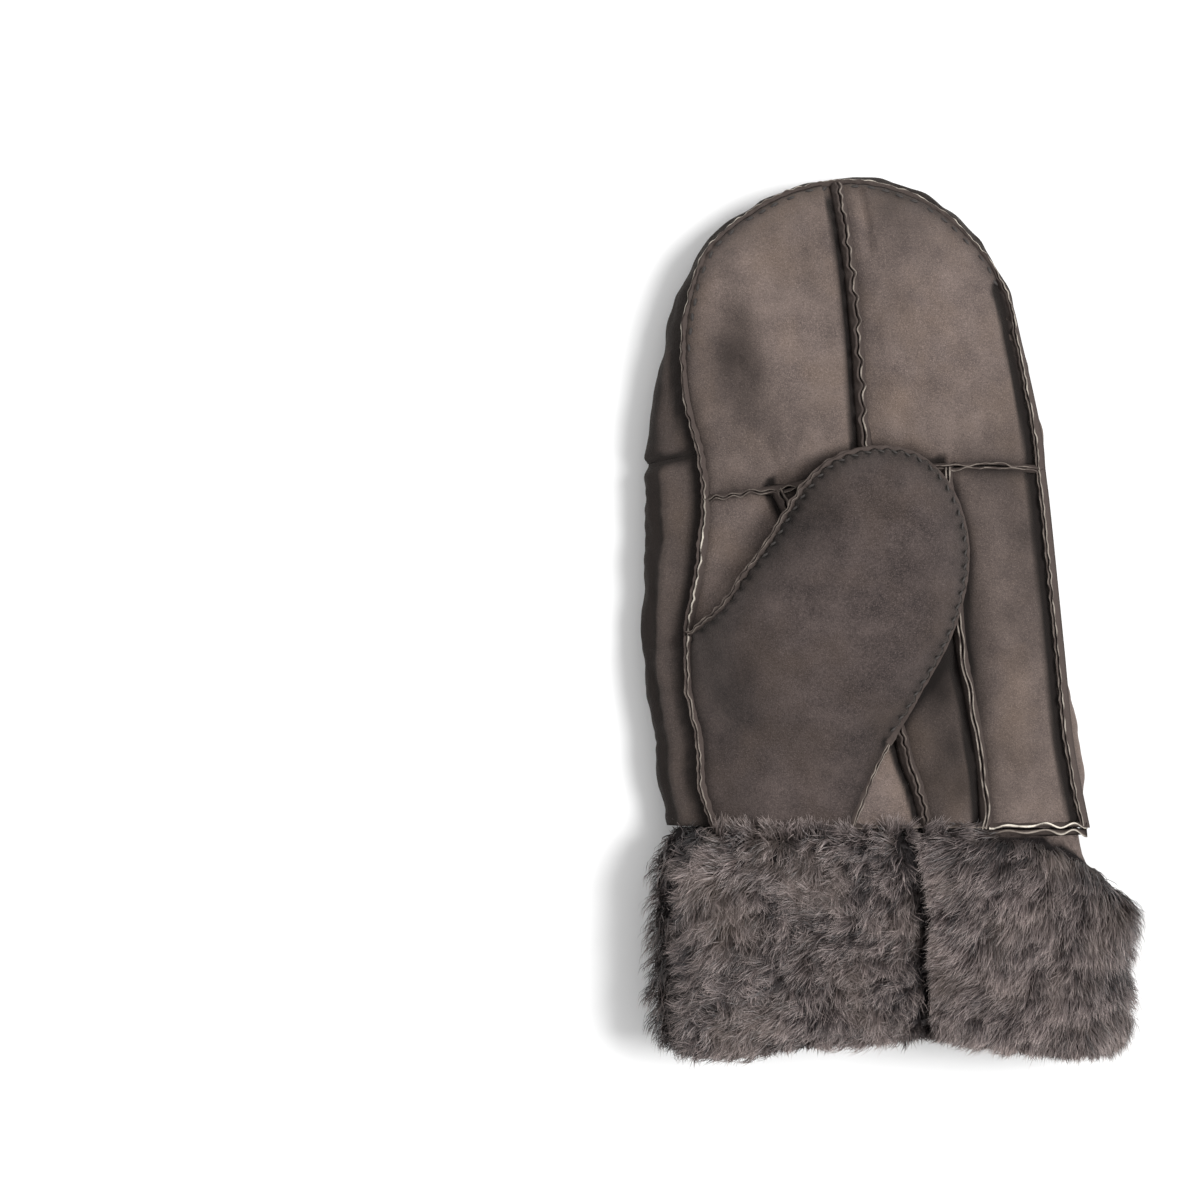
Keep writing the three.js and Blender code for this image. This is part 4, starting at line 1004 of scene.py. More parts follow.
def build_thumb():
    tip = part(thumb_edge, TIP_FROM, TIP_TO)
    wrist = straight(WRIST["thumb_side"], WRIST["crease"])
    front = suede_piece([
        wrist, tip, chained([part(rim, 0, THUMB_START), part(thumb_edge, 0, TIP_FROM)], [0.5, 1]),
        chained([part(thumb_edge, 1, EDGE_END), part(thumb_edge, EDGE_END, TIP_TO)], [0.25, 1]),
    ], {"left": 1, "top": 1, "right": lambda t: smooth(t, 0.25, 0.35)}, THUMB_EDGES, (), THUMB_PAINTED_LIGHT_AND_SHADE,
        thumb_skin, lambda p, at_edge: thumb_inside(p), 1.1, True)
    back = suede_piece([
        part(thumb_web), tip, part(thumb_edge, BACK_FROM, TIP_FROM), part(thumb_edge, BACK_TO, TIP_TO),
    ], {"left": 1, "top": 1, "right": 1}, THUMB_EDGES, (), (), thumb_underside, thumb_back_inside, 1.6)
    line, across = seam_line(stretch(thumb_edge, 0, EDGE_END), thumb_edge_height)
    look = {key: np.interp(np.linspace(0, 1, len(line)), *row) for key, row in THUMB_LOOK.items()}
    seam(line, across, 4.6, 160, back, front, sway=0.5, pale=0.04, **look)
    how = {"tilt": 0.5, "height": 0.5, "sway": 0.3, "pale": 0.1, "thick": 0.7}
    level_seam(stretch(thumb_edge, EDGE_END, 1), palm_form, 4.2, 165, front, front, **how)
    rim_edges(0, THUMB_START, palm_form, 124, front)
    level_seam(wrist, palm_form, 9.0, 154, front, None, height=0.5, pale=0)
    run = runs(free_edge)
    at = np.arange(STITCH_EVERY * 8, run[-1] - 4, STITCH_EVERY)
    on_edge, ahead = (on_line(at + k, run, free_edge) for k in (0, 0.5))
    inward = -left_of(unit(ahead - on_edge))
    p = on_edge + inward
    along = unit(raised(ahead - on_edge + inward * 0.25))
    threads(front, raised(p, thumb_skin(p) + 0.1), along, raised(inward * -0.5, 1.0), 2.2, 0.9)
    finish_suede("thumb_front", front, THUMB, "thumb_suede")
    finish_suede("thumb_back", back, THUMB, "thumb_suede")


def strip_point(stop, u, depth):
    """The side strip's surface for row numbers of the rim and shares down to the back seam."""
    t = stop / RIM_STEPS
    here, outward, reach = rim(t), rim_outward(t), flare(t)
    by_thumb = stop < 3.8
    top = np.where(by_thumb, palm_form(here), palm_face(here))
    bottom = np.full(len(t), BACK_SEAM_HEIGHT)
    if depth:
        inside = beside_rim(t, -WALL)
        under = np.where(by_thumb, thumb_inside(inside), palm_face(inside) - WALL)
        top = np.minimum(under, top - WALL / 2)
        bottom = back_face(back_seam(t) - outward * WALL) + WALL

    def bend(a, b, c):
        a, b, c = (np.reshape(v, (-1, 1)) for v in (a, b, c))
        return a * (1 - u) ** 2 + 2 * b * u * (1 - u) + c * u**2

    out = bend(-depth, 1.5 * reach + BACK_TUCK / 2 - 1.2 * depth, reach - BACK_TUCK - depth)
    height = bend(top - 2.2 * SEAM_STEP, (top + bottom) / 2, bottom + SEAM_STEP)
    return raised(here[:, None] + outward[:, None] * out[..., None], height)


STRIP_WIDTH, STRIP_SHADE = 26, 0.64
# Folds of the strip: height, then the rim's rows where it starts, is full, fades and ends.
FOLDS = [
    (-1.2, 20.5, 22, 23, 23.6), (1.6, 23.2, 24, 24.3, 24.9), (1.3, 14, 15, 16.4, 17.4),
    (-1.0, 9.5, 11, 12.5, 14),
]
# Strength of the strips' painted shade, at rows of the rim.
STRIP_SHADE_BY_ROW = [0, 2, 3.5, 6, 8, 14], [1.2, 1.15, 0.92, 0.95, 1.16, 1.1]


def strip_shape(first, last):
    """A length of the side strip between two rows of the rim, bulged, folded and gathered at its seams."""
    rows = np.linspace(first, last, 801)
    run = runs(rim(rows / RIM_STEPS))
    lengths = run[-1] * np.linspace(0, 1, int(run[-1] / 1.1) + 2)
    stops, u = np.interp(lengths, run, rows), np.linspace(0, 1, 19)
    outer, inner = strip_point(stops, u, 0.0), strip_point(stops, u, WALL)
    along, down = (grid.ravel() for grid in np.meshgrid(lengths, u * STRIP_WIDTH, indexing="ij"))
    flat = np.column_stack([along, down])
    swell = 0.5 * ripple(flat, 17, 60 + int(first)) + 0.2 * ripple(flat, 7, 61 + int(first))
    swell += 0.35 * np.sin(2 * np.pi * along / 5 + 1.5 * ripple(flat, 21, 62)) * bell(down, 4.5)
    swell += 0.3 * np.sin(2 * np.pi * along / 6 + ripple(flat, 21, 63)) * bell(STRIP_WIDTH - down, 5)
    swell = swell.reshape(outer.shape[:2]) * np.sin(np.pi * np.clip(u, 0.02, 0.98)) ** 0.5
    to_seam = 3 * HAND_WIDTH * np.abs(stops / RIM_STEPS - STRIP_IN)
    fold = np.where(stops < 7, 1.2 * bell(to_seam, 12), 0.9 * bell(to_seam, 9))
    fold = fold - 3.0 * bell(to_seam, 3.2) * smooth(14 - stops, -1, 1)
    fold = fold + sum(high * plateau(stops, *place) for high, *place in FOLDS)
    groove = bell(u - 0.36, 0.045) * plateau(stops, -1, 0.5, 6.2, 7.5)[:, None]
    swell = swell + fold[:, None] * np.sin(np.pi * u) - groove
    outward = rim_outward(stops / RIM_STEPS)[:, None]
    outer[..., :2] += outward * (swell * (0.5 + 0.5 * np.sin(np.pi * u)))[..., None]
    outer[..., 2] = np.maximum(outer[..., 2] + swell * (1 - u), 0.2)
    from_rim = np.linalg.norm(outer[..., :2] - rim(stops / RIM_STEPS)[:, None], axis=2)
    # Painted shade: the shadow in the furrow beside the rim, the shade by the back seam, in the groove and
    # at the seam between strips, and over all but the outer strip, which faces the key light.
    shade = 0.75 * bell(from_rim, 4.2, 4) + 0.15 * bell(from_rim, 7)
    shade = shade * lerp(1, 0.3, smooth(stops, 16, 19))[:, None] + 0.6 * bell(STRIP_WIDTH * (1 - u), 3)
    strip_shade_by_row = STRIP_SHADE * np.interp(stops, *STRIP_SHADE_BY_ROW) * smooth(stops, 21, 17)
    shade = shade + 0.9 * groove + 0.6 * bell(to_seam, 2.2)[:, None]
    shade = shade + strip_shade_by_row[:, None] * (0.7 + 0.9 * smooth(u, 0.22, 0.44))
    shape = Shape()
    closed_between(shape, outer, inner, True, seam=np.clip(shade, 0, 0.94))
    return shape


def back_edge(start, end, seed, back, strip):
    """The raw edges of the seam round the back."""
    p = line_of(part(back_seam, start, end), int(300 * (end - start)) + 40)
    line, across = raised(p, BACK_SEAM_HEIGHT + 0.2), raised(left_of(unit(np.gradient(p, axis=0))))
    seam(line, across, 5.0, seed, back, strip, tilt=1.5, height=0.75, sway=0.25, pale=0.1)


def build_strips():
    thumb, tip, outer = strip_shape(0.02, 6.998), strip_shape(7.002, 19.998), strip_shape(20.002, 24.98)
    for shape, start, end, face, seed in (
        (thumb, 0, THUMB_START, palm_form, 124), (thumb, THUMB_START, KNUCKLE_IN, palm_face, 122),
        (tip, KNUCKLE_IN, TIP, palm_face, 120), (tip, TIP, KNUCKLE_OUT, palm_face, 121),
        (outer, KNUCKLE_OUT, 1, palm_face, 123),
    ):
        rim_edges(start, end, face, seed, None, shape)
    for name, shape, start, end, seed in (
        ("thumb", thumb, 0, STRIP_IN, 180), ("tip", tip, STRIP_IN, STRIP_OUT, 181),
        ("outer", outer, STRIP_OUT, 1, 182),
    ):
        back_edge(start, end, seed, None, shape)
        finish_suede("side_strip_" + name, shape)


def build_back():
    between = straight(back_seam(STRIP_IN)[0], back_seam(STRIP_OUT)[0])
    hand_sides = [
        straight(back_seam(0)[0], back_seam(1)[0]), between, part(back_seam, 0, STRIP_IN),
        part(back_seam, 1, STRIP_OUT),
    ]
    finger_sides = [
        between, part(back_seam, DOME_IN, DOME_OUT), part(back_seam, STRIP_IN, DOME_IN),
        part(back_seam, STRIP_OUT, DOME_OUT),
    ]
    for name, sides, top, spans, seed in (
        ("back_hand", hand_sides, 0, [(0, STRIP_IN), (STRIP_OUT, 1)], 190),
        ("back_fingers", finger_sides, 1, [(STRIP_IN, STRIP_OUT)], 191),
    ):
        folded = {"left": 1, "right": 1, "top": top}
        outer, inner = panel_grids(sides, back_skin, lambda p, at_edge: back_face(p) + WALL, folded, 2.4)
        shape = Shape()
        shade = seam_shade(outer[..., :2].reshape(-1, 2), [back_line])
        closed_between(shape, outer, inner, True, seam=shade)
        for span in spans:
            back_edge(*span, seed, shape, None)
        finish_suede(name, shape)


# Cuff


def hide_table(downs, turns):
    """The cuff's hide at shares of the way down and round: x, z, and the outward x and z."""
    angle = 2 * np.pi * np.linspace(0, 1, 1441)
    cos, sin = np.cos(angle), np.sin(angle)
    rows = []
    for down in downs:
        top = lerp(CUFF_TOP_AT_WRIST, CUFF_TOP_AT_HEM, down)
        middle = (top + CUFF_UNDERSIDE) / 2
        half = CUFF_WIDTH / 2 - np.where(cos > 0, CUFF_OUTER_FLARE * (1 - smooth(down, 0, 0.35)), 0)
        oval = np.column_stack([
            CUFF_CENTRE + half * np.sign(cos) * np.abs(cos) ** (2 / CUFF_SQUARENESS),
            middle + (top - middle) * np.sign(sin) * np.abs(sin) ** (2 / CUFF_SQUARENESS),
        ])
        places = on_line(turns, runs(oval) / runs(oval)[-1], oval)
        ahead = np.roll(places[:-1], -3, 0) - np.roll(places[:-1], 3, 0)
        ahead = unit(np.vstack([ahead, ahead[:1]]))
        rows.append(np.column_stack([places, ahead[:, 1], -ahead[:, 0]]))
    return np.array(rows)


LOWEST, DOWN_STEPS, TURN_STEPS = 1.1, 22, 720
HIDE = hide_table(np.linspace(0, LOWEST, DOWN_STEPS + 1), np.linspace(0, 1, TURN_STEPS + 1))
# Where the hide is bare below the wrist: x, and how far down.
WRIST_HIDE = [28, 44, 52, 58, 64], [0.0, 1.5, 5.0, 9.0, 15.0]


def reach_at(turn):
    return np.interp(np.mod(turn, 1), HEM_REACH[:, 0], HEM_REACH[:, 1])


def on_hide(turn, down, offset):
    """Places over the hide at shares of the way round and down, and their outward ways."""
    column, row = np.mod(turn, 1) * TURN_STEPS, np.clip(down, 0, LOWEST) / LOWEST * DOWN_STEPS
    i, j = np.minimum(row.astype(int), DOWN_STEPS - 1), np.minimum(column.astype(int), TURN_STEPS - 1)
    v = (column - j)[..., None]
    low, high = lerp(HIDE[i, j], HIDE[i, j + 1], v), lerp(HIDE[i + 1, j], HIDE[i + 1, j + 1], v)
    x, z, ox, oz = np.moveaxis(lerp(low, high, (row - i)[..., None]), -1, 0)
    y = WRIST_Y - SEAM_GAP / 2 - down * CUFF_LENGTH * reach_at(turn)
    return np.stack([x + ox * offset, y, z + oz * offset], -1), np.stack([ox, 0 * ox, oz], -1)


def inside_at(down):
    """How far the cuff's inner face lies from the hide."""
    return -CUFF_WALL - np.interp(down, CUFF_SLICE[:, 0], CUFF_SLICE[:, 2]) * HEM_ROLL


def fur_height(name, turn, down):
    """Depth of the fur over the hide, the part of the full fur that this is, and the outward ways."""
    start, end, least_start, least_end, wide_start, wide_end, _ = CUFF_PIECES[name]
    place, out = on_hide(turn, down, np.zeros_like(turn))
    x, fallen = place[..., 0], down * CUFF_LENGTH
    share, long = (turn - start) / (end - start), (end - start) * AROUND
    cover = lerp(least_start, 1, smooth(share * long, 0, wide_start))
    cover = cover * lerp(least_end, 1, smooth((1 - share) * long, 0, wide_end))
    if name == OUTER_PIECE:
        bare = np.interp(x, *WRIST_HIDE) * smooth(x, 20, 26)
        cover = cover * smooth(fallen - bare, -1.0, lerp(3.0, 7.0, smooth(x, 52, 62)))
        cover = cover * (1 + 0.3 * smooth(x, 54, 63) * bell(fallen - 24.5, 5.5))
    full = np.interp(down, CUFF_SLICE[:, 0], CUFF_SLICE[:, 1])
    full = full * lerp(FUR_DEPTH, FUR_UNDERNEATH, smooth(-out[..., 2], 0, 0.7))
    return full * cover, cover, out


def cuff_body(shape, name):
    """Dense wool close to the hide, with the hem rolled in, as one closed body."""
    start, end = CUFF_PIECES[name][:2]
    gap = SEAM_GAP / 2 / AROUND
    turns = np.linspace(start + gap, end - gap, int((end - start) * AROUND / 2.2))
    downs = np.concatenate([np.linspace(0, 0.9, 24), np.linspace(0.92, HEM_DOWN, 5)])
    down, turn = np.meshgrid(downs, turns, indexing="ij")
    depth, cover, _ = fur_height(name, turn, down)
    flat = np.column_stack([turn.ravel() * AROUND, down.ravel() * CUFF_LENGTH])
    lumps = (1 + 0.2 * ripple(flat, 9, 301) + 0.12 * ripple(flat, 4, 302)).reshape(turn.shape)
    outer, _ = on_hide(turn, down, depth * 0.6 * lumps)
    inner, _ = on_hide(turn, down * 0.97, inside_at(down))
    for grid in (outer, inner):
        grid[..., 2] = np.maximum(grid[..., 2], 0.3)
    bare = (1 - smooth(cover, 0.0, 0.25)) * (name == OUTER_PIECE)
    closed_between(shape, outer, inner, True, 2, hide=bare)


TAPER = np.array([1.0, 0.95, 0.75])


def strands(shape, root, growth, comb, bend, width, roll, lock, segments=3):
    """Tapered ribbons of wool. growth lifts a strand, comb lays it over and bend curls it sideways."""
    k = np.linspace(0, 1, segments + 1)
    lift, lay, curl = (share[None, :, None] for share in (1 - (1 - k) ** 2, k**1.4, np.sin(np.pi * k)))
    spine = root[:, None] + growth[:, None] * lift + comb[:, None] * lay + bend[:, None] * curl
    along = unit(np.gradient(spine, axis=1))
    side = unit(np.cross(along, unit(growth + 1e-6)[:, None]))
    side = side * np.cos(roll)[:, None, None] + np.cross(side, along) * np.sin(roll)[:, None, None]
    half = side[:, :-1] * (width[:, None] * TAPER[:segments] / 2)[..., None]
    pairs = np.stack([spine[:, :-1] - half, spine[:, :-1] + half], 2).reshape(len(root), -1, 3)
    points = np.concatenate([pairs, spine[:, -1:]], 1)
    points[..., 2] = np.maximum(points[..., 2], 0.05)
    n = 2 * segments + 1
    quads = np.array([[2 * i, 2 * i + 1, 2 * i + 3, 2 * i + 2] for i in range(segments - 1)])
    shift = (np.arange(len(root)) * n)[:, None, None]
    faces = [(quads + shift).reshape(-1, 4), (np.array([[n - 3, n - 2, n - 1]]) + shift).reshape(-1, 3)]
    rise = np.tile(np.append(np.repeat(k[:-1], 2), 1.0), len(root))
    shape.add(points.reshape(-1, 3), faces, 0, along=rise, lock=np.repeat(lock, n))


def around(out):
    """The way round the cuff, square to its outward way."""
    return np.stack([-out[:, 2], 0 * out[:, 0], out[:, 0]], 1)


def combed(out, angle, ahead=-1):
    """Ways that lie at an angle from straight along the cuff."""
    return np.outer(np.cos(angle), (0, ahead, 0)) + around(out) * np.sin(angle)[:, None]


class Locks:
    """Scattered locks of wool about as wide as size. Each has random numbers of its own."""

    def __init__(self, flat, size, seed):
        shift = 0.35 * size * np.column_stack([ripple(flat, size * 2.2, seed + k) for k in (0, 1)])
        row = np.floor((flat[:, 1] + shift[:, 1]) / size)
        column = np.floor((flat[:, 0] + shift[:, 0]) / size + 0.5 * np.mod(row, 2))
        _, of = np.unique(np.column_stack([row, column]), axis=0, return_inverse=True)
        self.of = of.ravel()
        held = np.bincount(self.of)
        centre = np.stack([np.bincount(self.of, flat[:, i]) / held for i in (0, 1)], 1)
        self.pull = centre[self.of] - flat
        self.from_centre = np.clip(np.linalg.norm(self.pull, axis=1) / (0.6 * size), 0, 1.2)
        self.count, self.rng = len(held), np.random.default_rng(seed)

    def random(self, middle, spread):
        return self.rng.normal(middle, spread, self.count)[self.of]


def flow(name, flat, share):
    """The angle at which the wool is combed away from straight down, towards the thumb side."""
    swirl = ripple(flat, 34, 311) * 0.35 + ripple(flat, 13, 312) * 0.25
    if name == OUTER_PIECE:
        return lerp(-0.35, 1.0, share**1.3) + swirl * 0.5
    if name == THUMB_PIECE:
        return lerp(0.2, 0.8, share) + swirl * 1.6
    return swirl * 1.2


def grow_fur(shape, name, count, seed, guard=0.0):
    """The cuff's strands in locks and tufts. guard makes them longer, thinner and brighter."""
    start, end, *_, wild = CUFF_PIECES[name]
    fur_length = bpy.context.scene.mitten.fur_length
    rng = np.random.default_rng(seed)
    turn = rng.uniform(start, end, int(count * 1.1))
    down = rng.uniform(0, 1, len(turn)) ** 0.9 * 0.97
    depth, cover, out = fur_height(name, turn, down)
    grows = np.flatnonzero(cover > rng.uniform(0, 0.3, len(turn)))[:count]
    turn, down, depth, cover, out = (values[grows] for values in (turn, down, depth, cover, out))
    n, share = len(turn), (turn - start) / (end - start)
    flat = np.column_stack([turn * AROUND, down * CUFF_LENGTH])
    big, tuft = Locks(flat, 7.5, 331 + seed // 100), Locks(flat, 2.1, 341 + seed // 100)

    near_wrist, below = 1 - smooth(down, 0.0, 0.1), smooth(-out[:, 2], 0.1, 0.8)
    angle = flow(name, flat, share)
    angle = angle + wild * (big.random(0, 0.5) + tuft.random(0, 0.28)) + rng.normal(0, 0.16, n)
    angle = angle + near_wrist * (big.random(0, 1.2) + tuft.random(0, 0.8))
    crown = (1 - 0.4 * wild * big.from_centre**2) * (1 - 0.16 * tuft.from_centre**2)
    tall = crown * tuft.random(1, 0.13) * rng.uniform(0.8, 1.1, n) * (1 + guard * 0.15)
    growth = out * (lerp(0.52, 0.22, below) * (depth + 1.8) * tall * fur_length)[:, None]
    long = (lerp(6.0, 4.4, wild) + 3.2 * rng.random(n)) * big.random(1, 0.1) * (1 - 0.35 * near_wrist)
    long = long * fur_length * (1 + guard * 0.2)
    long = long * lerp(1, rng.uniform(0.5, 1.15, n), smooth(down, 0.8, 0.95))
    hidden = np.zeros(n)
    if name == OUTER_PIECE:
        beside = (1 - share) * (end - start) * AROUND
        angle = lerp(0.55, angle, smooth(beside, -4, 7))
        long = long * lerp(0.5, 1, smooth(beside, 0, 6))
    if name == THUMB_PIECE:
        hidden = 1 - smooth(share * (end - start) * AROUND, 6.2, 8.6)
        angle = lerp(angle, 0.1, hidden)
        long = long * (1 - 0.6 * hidden)

    way, pulled = combed(out, angle), 0.35 + 0.4 * wild
    pull = tuft.pull * pulled + big.pull * 0.12
    comb = way * long[:, None] + around(out) * pull[:, :1]
    comb[:, 1] -= pull[:, 1]
    bend = np.cross(way, out) * (wild * tuft.random(0, 1.1) + rng.normal(0, 0.4, n))[:, None]
    root, _ = on_hide(turn, down, depth * rng.uniform(0.36, 0.6, n))
    hem = WRIST_Y - SEAM_GAP / 2 - CUFF_LENGTH * reach_at(turn)
    hem = hem - tuft.random(-0.4, 1.3) - rng.normal(0, 0.8, n)
    comb[:, 1] = np.maximum(comb[:, 1], np.minimum(hem - root[:, 1], -0.6))
    width = rng.uniform(0.17, 0.32, n) * (1 - 0.35 * guard)

    # Tone: random for each lock, tuft and strand, with brighter guard hairs and some pale strands, and
    # painted shade in the groove, at the locks' edges, where the fur is thin and in hollows.
    hollow = smooth(ripple(flat, 17, 351), 0.35, 0.9) * smooth(ripple(flat, 9, 352), -0.2, 0.6)
    tone = 0.43 + big.random(0, 0.14) + tuft.random(0, 0.19) + rng.normal(0, 0.26, n) + 0.08 * guard
    tone = tone - 1.6 * hidden + 0.4 * (rng.random(n) < 0.12 + 0.14 * guard) - 0.05 * (name == THUMB_PIECE)
    tone = tone - 0.3 * wild * (big.from_centre**2 - 0.4) - 0.7 * np.maximum(1 - cover, 0)
    tone = tone - 0.45 * wild * hollow
    strands(shape, root, growth, comb, bend, width, rng.uniform(-0.7, 0.7, n), np.clip(tone, 0, 1))


def fringe_wrist(shape, first, last, seed):
    """Tufts that stand up from the cuff and lap over the suede at the wrist."""
    rng = np.random.default_rng(seed)
    places = np.arange(first, last, 0.011)
    places = places + rng.uniform(-0.004, 0.004, len(places))
    m = len(places)
    tuft = np.repeat(np.arange(m), rng.integers(35, 110, m))
    n = len(tuft)
    turn = np.clip(places[tuft] + rng.normal(0, 0.0028, n), first, last)
    down = np.abs(rng.normal(0, 0.03, n))
    root, out = on_hide(turn, down, 0.5 + 2.5 * rng.random(n))
    angle = rng.normal(0, 0.75, m)[tuft] + rng.normal(0, 0.3, n)
    comb = combed(out, angle, 1) * (rng.uniform(3.0, 6.0, m)[tuft] * rng.uniform(0.7, 1.15, n))[:, None]
    growth = out * rng.uniform(1.5, 4.0, n)[:, None]
    bend = around(out) * (rng.normal(0, 1.0, m)[tuft] + rng.normal(0, 0.3, n))[:, None]
    tone = np.clip(rng.normal(0.5, 0.15, m)[tuft] + rng.normal(0, 0.12, n), 0, 1)
    strands(shape, root, growth, comb, bend, rng.uniform(0.18, 0.3, n), rng.uniform(-0.7, 0.7, n), tone)


def line_mouth(shape, name, n, seed):
    """Short wool inside the cuff, laid towards the mouth."""
    rng = np.random.default_rng(seed)
    turn, down = rng.uniform(*CUFF_PIECES[name][:2], n), rng.uniform(0, 1, n)
    root, out = on_hide(turn, down * 0.97, inside_at(down) + 0.3)
    comb = combed(out, rng.normal(0, 0.6, n)) * 4.5
    growth = -out * rng.uniform(2.0, 4.0, n)[:, None]
    bend, width, roll = rng.normal(0, 0.5, (n, 3)), rng.uniform(0.3, 0.5, n), rng.uniform(-0.7, 0.7, n)
    strands(shape, root, growth, comb, bend, width, roll, rng.uniform(0.2, 0.8, n), 2)


def line_hem(shape, name, n, seed):
    """Short wool on the face of the hem, between the outer fur and the wool inside the cuff."""
    rng = np.random.default_rng(seed)
    turn, down, across = rng.uniform(*CUFF_PIECES[name][:2], n), np.full(n, HEM_DOWN), rng.uniform(0, 1, n)
    depth, _, _ = fur_height(name, turn, down)
    root, out = on_hide(turn, down, lerp(inside_at(HEM_DOWN), depth * 0.6, across))
    root[:, 1] += 0.5
    growth = np.outer(rng.uniform(1.5, 3.2, n), (0, -1, 0))
    comb = out * (lerp(-2.6, 2.2, across) + rng.normal(0, 0.8, n))[:, None]
    comb = comb + around(out) * rng.normal(0, 1.2, n)[:, None]
    bend, width, roll = rng.normal(0, 0.4, (n, 3)), rng.uniform(0.25, 0.45, n), rng.uniform(-0.7, 0.7, n)
    strands(shape, root, growth, comb, bend, width, roll, np.clip(rng.normal(0.42, 0.18, n), 0, 1))


def build_cuff():
    count = bpy.context.scene.mitten.fur_strands
    fringes = {OUTER_PIECE: (0.16, 0.2), THUMB_PIECE: (0.21, 0.44)}
    for i, name in enumerate(CUFF_PIECES):
        body = Shape()
        cuff_body(body, name)
        grow_fur(body, name, int(count * (0.7 if name == BACK_PIECE else 1)), 400 + 10 * i)
        line_mouth(body, name, 3000, 430 + i)
        line_hem(body, name, 2600, 440 + i)
        if name == OUTER_PIECE:
            wrist_edge(None, body)
        body.make(name + "_wool", finishes(CUFF), "fur", [name])
        if name in fringes:
            over = Shape()
            grow_fur(over, name, int(count * 0.72), 405 + 10 * i, guard=1.0)
            fringe_wrist(over, *fringes[name], 450 + i)
            over.make(name + "_guard_hair", finishes(CUFF[:1]), "fur")


# Stage


def build_stage():
    look = bpy.context.scene.mitten
    n = 41
    edge = np.linspace(-2600, 2600, n)
    table = Shape()
    flat = np.stack(np.meshgrid(edge, edge, indexing="ij"), -1).reshape(-1, 2)
    table.add(raised(flat), [grid_faces(n, n)[:, ::-1]])
    f = Finish("floor")
    colour = np.array(look.floor)
    f.set(Base_Color=f.mix(f.noise(3, 1), colour, 0.99 * colour), Roughness=0.9, Specular_IOR_Level=0.1)
    floor = table.make("floor", [f.material])

    scene = bpy.context.scene
    scene.view_settings.view_transform = "Standard"
    scene.world = bpy.data.worlds.new("studio")
    scene.world.use_nodes = True
    sky = scene.world.node_tree.nodes["Background"].inputs
    sky["Color"].default_value = (1, 1, 1, 1)
    sky["Strength"].default_value = look.sky_light
    for name, height, around_up, spread, power in (
        ("key_light", 57, 4, 24, look.key_light), ("top_light", 80, 90, 70, look.top_light),
    ):
        lamp = bpy.data.lights.new(name, "SUN")
        lamp.energy, lamp.angle = power, np.radians(spread)
        light = bpy.data.objects.new(name, lamp)
        light.rotation_euler = (0, np.radians(90 - height), np.radians(around_up))
        scene.collection.objects.link(light)

    camera = bpy.data.cameras.new("camera")
    camera.sensor_width = 36
    camera.lens = 36 * (look.camera_height - 0.025) / look.view_width
    camera.clip_start, camera.clip_end = 0.01, 20
    eye = bpy.data.objects.new("camera", camera)
    eye.location = (-0.0892, 0.0066, look.camera_height)
    scene.collection.objects.link(eye)
    scene.camera = eye


# The add-on


def colour_setting(name, description, *default):
    return bpy.props.FloatVectorProperty(
        name=name, description=description, default=default, subtype="COLOR", size=3, min=0, max=1)


def number_setting(name, description, default, least=0.0, **limits):
    return bpy.props.FloatProperty(name=name, description=description, default=default, min=least, **limits)


class MittenSettings(bpy.types.PropertyGroup):
    """Colours and sizes of the mitten's look."""

    suede: colour_setting("Suede", "Colour of the palm, finger and side panels", 0.145, 0.113, 0.101)
    thumb_suede: colour_setting("Thumb suede", "Colour of the thumb", 0.0615, 0.048, 0.0448)
    edge_tan: colour_setting("Tan edge", "Colour of the cut hide along most seams", 0.21, 0.175, 0.15)
    edge_cream: colour_setting("Cream edge", "Colour of the cut hide where it is palest", 0.8, 0.73, 0.63)
    thread: colour_setting("Thread", "Colour of the stitches", 0.03, 0.025, 0.023)
    # The fur root colour is painted shade deep in the fur, at the strands' roots and on the dense wool under
    # them.
    fur_root: colour_setting("Fur root", "Colour of the wool next to the hide", 0.018, 0.0145, 0.0145)
    fur_middle: colour_setting("Fur middle", "Colour of the wool half way up", 0.085, 0.0695, 0.069)
    fur_tip: colour_setting("Fur tip", "Colour of the wool's tips", 0.33, 0.283, 0.273)
    fur_length: number_setting(
        "Fur length", "Length of the wool, 1 as modelled", 1.0, 0.3, max=1.5, subtype="FACTOR")
    fur_strands: bpy.props.IntProperty(
        name="Strands", description="Strands of wool on each piece of the cuff",
        default=32000, min=1000, max=36000)
    floor: colour_setting("Table", "Colour of the table", 0.92, 0.92, 0.92)
    sky_light: number_setting("Surrounding light", "Strength of the even light from all round", 0.45)
    key_light: number_setting("Key light", "Strength of the soft light from the outer side", 2.9)
    top_light: number_setting("Top light", "Strength of the softer light from beyond the tip", 0.9)
    camera_height: number_setting(
        "Camera height", "Height of the camera above the table", 1.525, 0.5, unit="LENGTH")
    view_width: number_setting("View width", "Width that the picture takes in", 0.3672, 0.1, unit="LENGTH")


class MITTEN_OT_fingers(bpy.types.Operator):
    """Build the two finger panels with their seams"""

    bl_idname = "mitten.fingers"
    bl_label = "Finger panels"

    def execute(self, context):
        build_fingers()
        return {"FINISHED"}


class MITTEN_OT_palm(bpy.types.Operator):
    """Build the three palm panels with their seams"""

    bl_idname = "mitten.palm"
    bl_label = "Palm panels"

    def execute(self, context):
        build_palm()
        return {"FINISHED"}


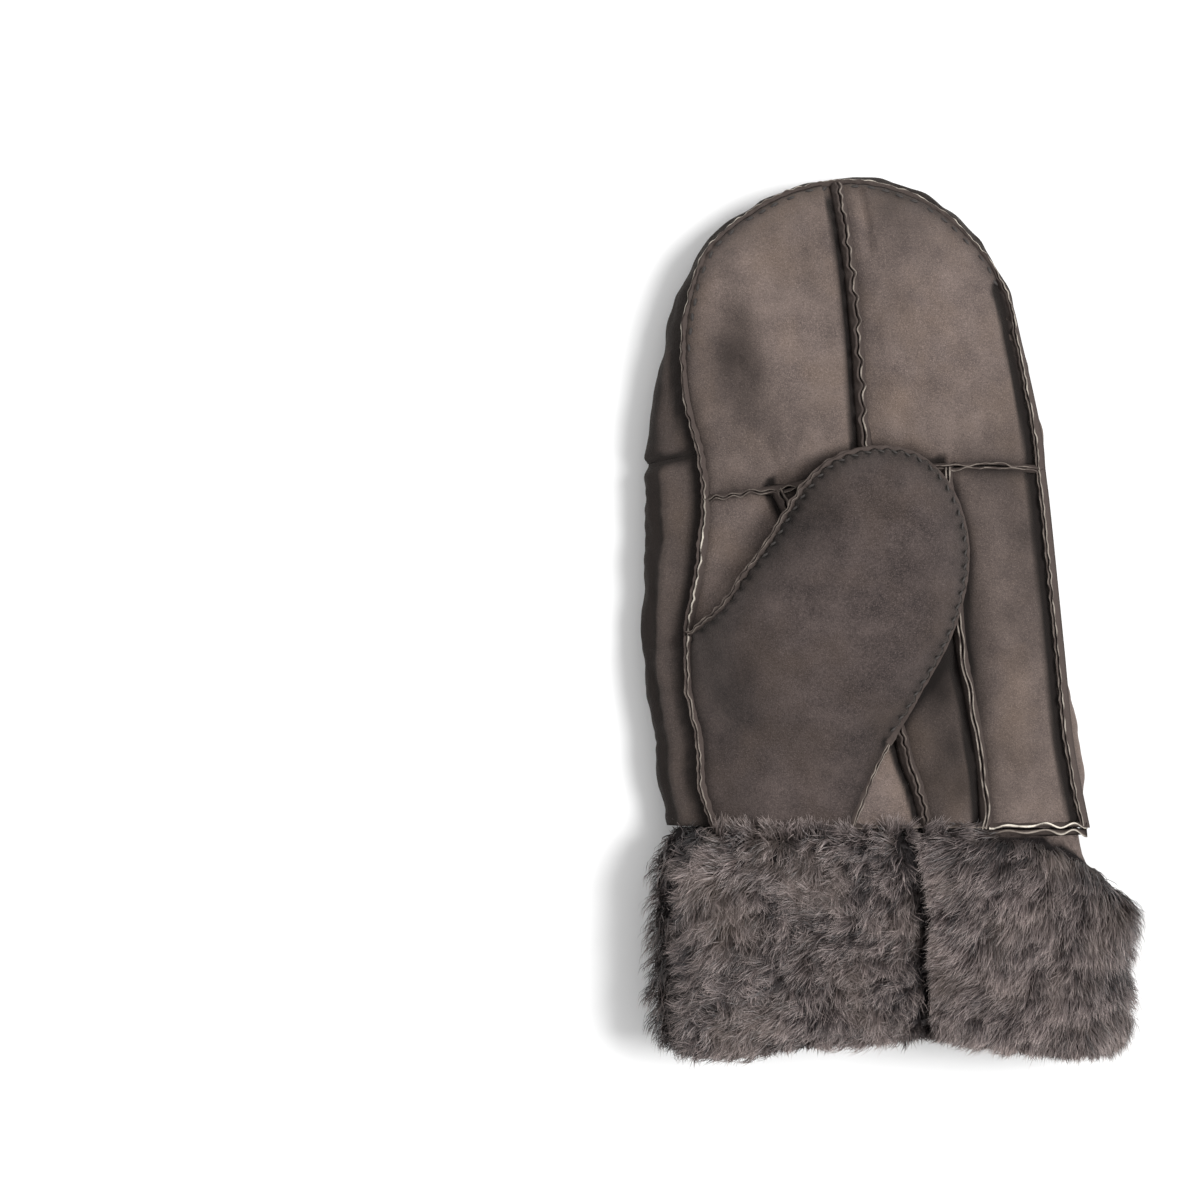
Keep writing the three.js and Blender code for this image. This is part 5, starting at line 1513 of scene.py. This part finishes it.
class MITTEN_OT_thumb(bpy.types.Operator):
    """Build the thumb with its edge seam and stitches"""

    bl_idname = "mitten.thumb"
    bl_label = "Thumb"

    def execute(self, context):
        build_thumb()
        return {"FINISHED"}


class MITTEN_OT_strips(bpy.types.Operator):
    """Build the side strips between palm and back"""

    bl_idname = "mitten.strips"
    bl_label = "Side strips"

    def execute(self, context):
        build_strips()
        return {"FINISHED"}


class MITTEN_OT_back(bpy.types.Operator):
    """Build the two panels of the back"""

    bl_idname = "mitten.back"
    bl_label = "Back panels"

    def execute(self, context):
        build_back()
        return {"FINISHED"}


class MITTEN_OT_cuff(bpy.types.Operator):
    """Build the fur cuff in its three pieces"""

    bl_idname = "mitten.cuff"
    bl_label = "Fur cuff"

    def execute(self, context):
        build_cuff()
        return {"FINISHED"}


class MITTEN_OT_stage(bpy.types.Operator):
    """Build the table, the lights and the camera"""

    bl_idname = "mitten.stage"
    bl_label = "Table, lights and camera"

    def execute(self, context):
        build_stage()
        return {"FINISHED"}


OPERATORS = (
    MITTEN_OT_fingers, MITTEN_OT_palm, MITTEN_OT_thumb, MITTEN_OT_strips, MITTEN_OT_back, MITTEN_OT_cuff,
    MITTEN_OT_stage,
)


class MITTEN_PT_build(bpy.types.Panel):
    """Lists the mitten's pieces and settings"""

    bl_idname = "MITTEN_PT_build"
    bl_label = "Mitten"
    bl_space_type = "VIEW_3D"
    bl_region_type = "UI"
    bl_category = "Mitten"

    def draw(self, context):
        for operator in OPERATORS:
            self.layout.operator(operator.bl_idname)
        for name in MittenSettings.__annotations__:
            self.layout.prop(context.scene.mitten, name)


CLASSES = (MittenSettings, *OPERATORS, MITTEN_PT_build)


def register():
    for cls in CLASSES:
        bpy.utils.register_class(cls)
    bpy.types.Scene.mitten = bpy.props.PointerProperty(type=MittenSettings)


def unregister():
    del bpy.types.Scene.mitten
    for cls in reversed(CLASSES):
        bpy.utils.unregister_class(cls)


def main():
    register()
    for operator in OPERATORS:
        group, name = operator.bl_idname.split(".")
        getattr(getattr(bpy.ops, group), name)()


if __name__ == "__main__":
    main()
